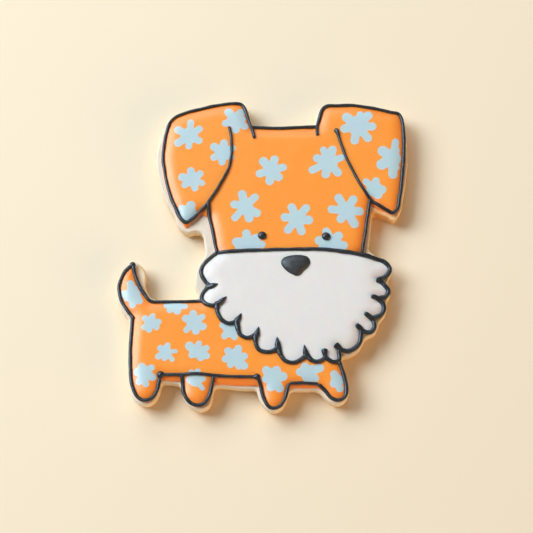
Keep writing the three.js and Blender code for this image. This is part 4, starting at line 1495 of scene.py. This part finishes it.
@dataclass
class Studio:
    """A pale floor, soft light from the left and behind, low warm fills, and the camera above.

    The wide fill comes from the right, and a weak flat one from beyond the cookie's feet.
    """

    target: tuple[float, float, float] = (0.90, -5.28, 7.5)
    distance: float = 520.0
    elevation: float = 72.0
    lens: float = 110.0
    lights_at: tuple[Softbox, ...] = (
        Softbox("key", (-0.99, 0.41, 1.06), 0.92, 0.92, 23.6, (0.945, 0.985, 1.0)),
        Softbox("back", (-0.35, 1.05, 0.95), 0.9, 0.9, 7.0, (0.95, 0.985, 1.0)),
        Softbox("bounce", (1.05, -0.75, 0.5), 1.3, 0.7, 9.0, (1.0, 0.56, 0.22)),
        Softbox("front", (-0.2, -1.45, 0.2), 1.2, 0.3, 2.4, (1.0, 0.82, 0.6)),
    )
    sky: float = 0.11
    sky_colour: Colour = (0.97, 0.985, 1.0, 1.0)
    floor_half: float = 3.0

    def camera(self) -> None:
        """The camera, looking down at the cookie from its feet's side."""
        tilt = math.radians(self.elevation)
        back = Vector((0, -math.cos(tilt), math.sin(tilt)))
        data = bpy.data.cameras.new("camera")
        data.lens = self.lens
        data.clip_start = 0.01
        camera = add_object("camera", data)
        camera.location = (Vector(self.target) + back * self.distance) * MM
        camera.rotation_euler = (math.pi / 2 - tilt, 0, 0)
        bpy.context.scene.camera = camera

    def lights(self) -> None:
        """The softboxes and an even sky."""
        for box in self.lights_at:
            data = bpy.data.lights.new(box.name, "AREA")
            data.shape = "RECTANGLE"
            data.size, data.size_y = box.width, box.height
            data.energy = box.power
            data.color = box.colour
            light = add_object(box.name, data)
            light.location = box.place
            light.rotation_euler = (-Vector(box.place)).to_track_quat("-Z", "Y").to_euler()
        world = bpy.data.worlds.new("sky")
        world.use_nodes = True
        background = world.node_tree.nodes["Background"].inputs
        background["Color"].default_value = self.sky_colour
        background["Strength"].default_value = self.sky
        bpy.context.scene.world = world
        bpy.context.scene.view_settings.view_transform = "Standard"

    def floor(self) -> None:
        """A wide pale sheet that the cookie lies on."""
        half = self.floor_half
        corners = [(-half, -half, 0), (half, -half, 0), (half, half, 0), (-half, half, 0)]
        mesh = bpy.data.meshes.new("floor")
        mesh.from_pydata(corners, [], [(0, 1, 2, 3)])
        floor = add_object("floor", mesh)
        graph = Graph("pale_floor", {"Base Color": shade(238, 228, 206), "IOR": 1.3})
        mesh.materials.append(graph.feed(Roughness=0.8 + 0.1 * graph.noise(3.0)))


def main() -> None:
    """Builds the cookie's pieces in the order in which a baker makes them, then the studio."""
    logging.basicConfig(level=logging.INFO, format="%(name)s: %(message)s")
    studio = Studio()
    studio.camera()
    studio.lights()
    studio.floor()
    # Each icing's third colour is the shade painted near its rim
    orange = IcingFinish(
        "orange_icing", shade(255, 161, 63), shade(255, 157, 57), shade(252, 139, 56),
        printed=shade(185, 214, 226),
    ).material()
    white = IcingFinish(
        "white_icing", shade(227, 228, 229), shade(224, 225, 226), shade(208, 197, 193),
        roughness=0.42,
    ).material()
    charcoal = PipedFinish().material()
    add_piece("baked_slab", Dough().surface(), DoughFinish().material(), "dough")
    floods = [head_flood(), beard_flood(), body_flood()]
    for flood in floods:
        is_white = flood.area is Area.BEARD
        name = f"{flood.area.value}_flood"
        add_piece(name, flood.surface(), white if is_white else orange, f"icing_{flood.area.value}")
    top = IcingTop([flood.top for flood in floods])
    for piping in (head_piping(), beard_piping(), body_piping()):
        name = f"{piping.area.value}_piping"
        add_piece(name, piping.surface(top), charcoal, f"lines_{piping.area.value}")
    for name, node, dot in (
        ("left_dot", "eye_left", Dot(EYE_LEFT, 71)),
        ("right_dot", "eye_right", Dot(EYE_RIGHT, 72)),
    ):
        add_piece(name, dot.surface(top), charcoal, node)
    matt = PipedFinish("charcoal_nose", shade(50, 51, 51), shade(64, 66, 66), 0.44).material()
    add_piece("nose_drop", Nose().surface(top), matt, "nose")


if __name__ == "__main__":
    main()
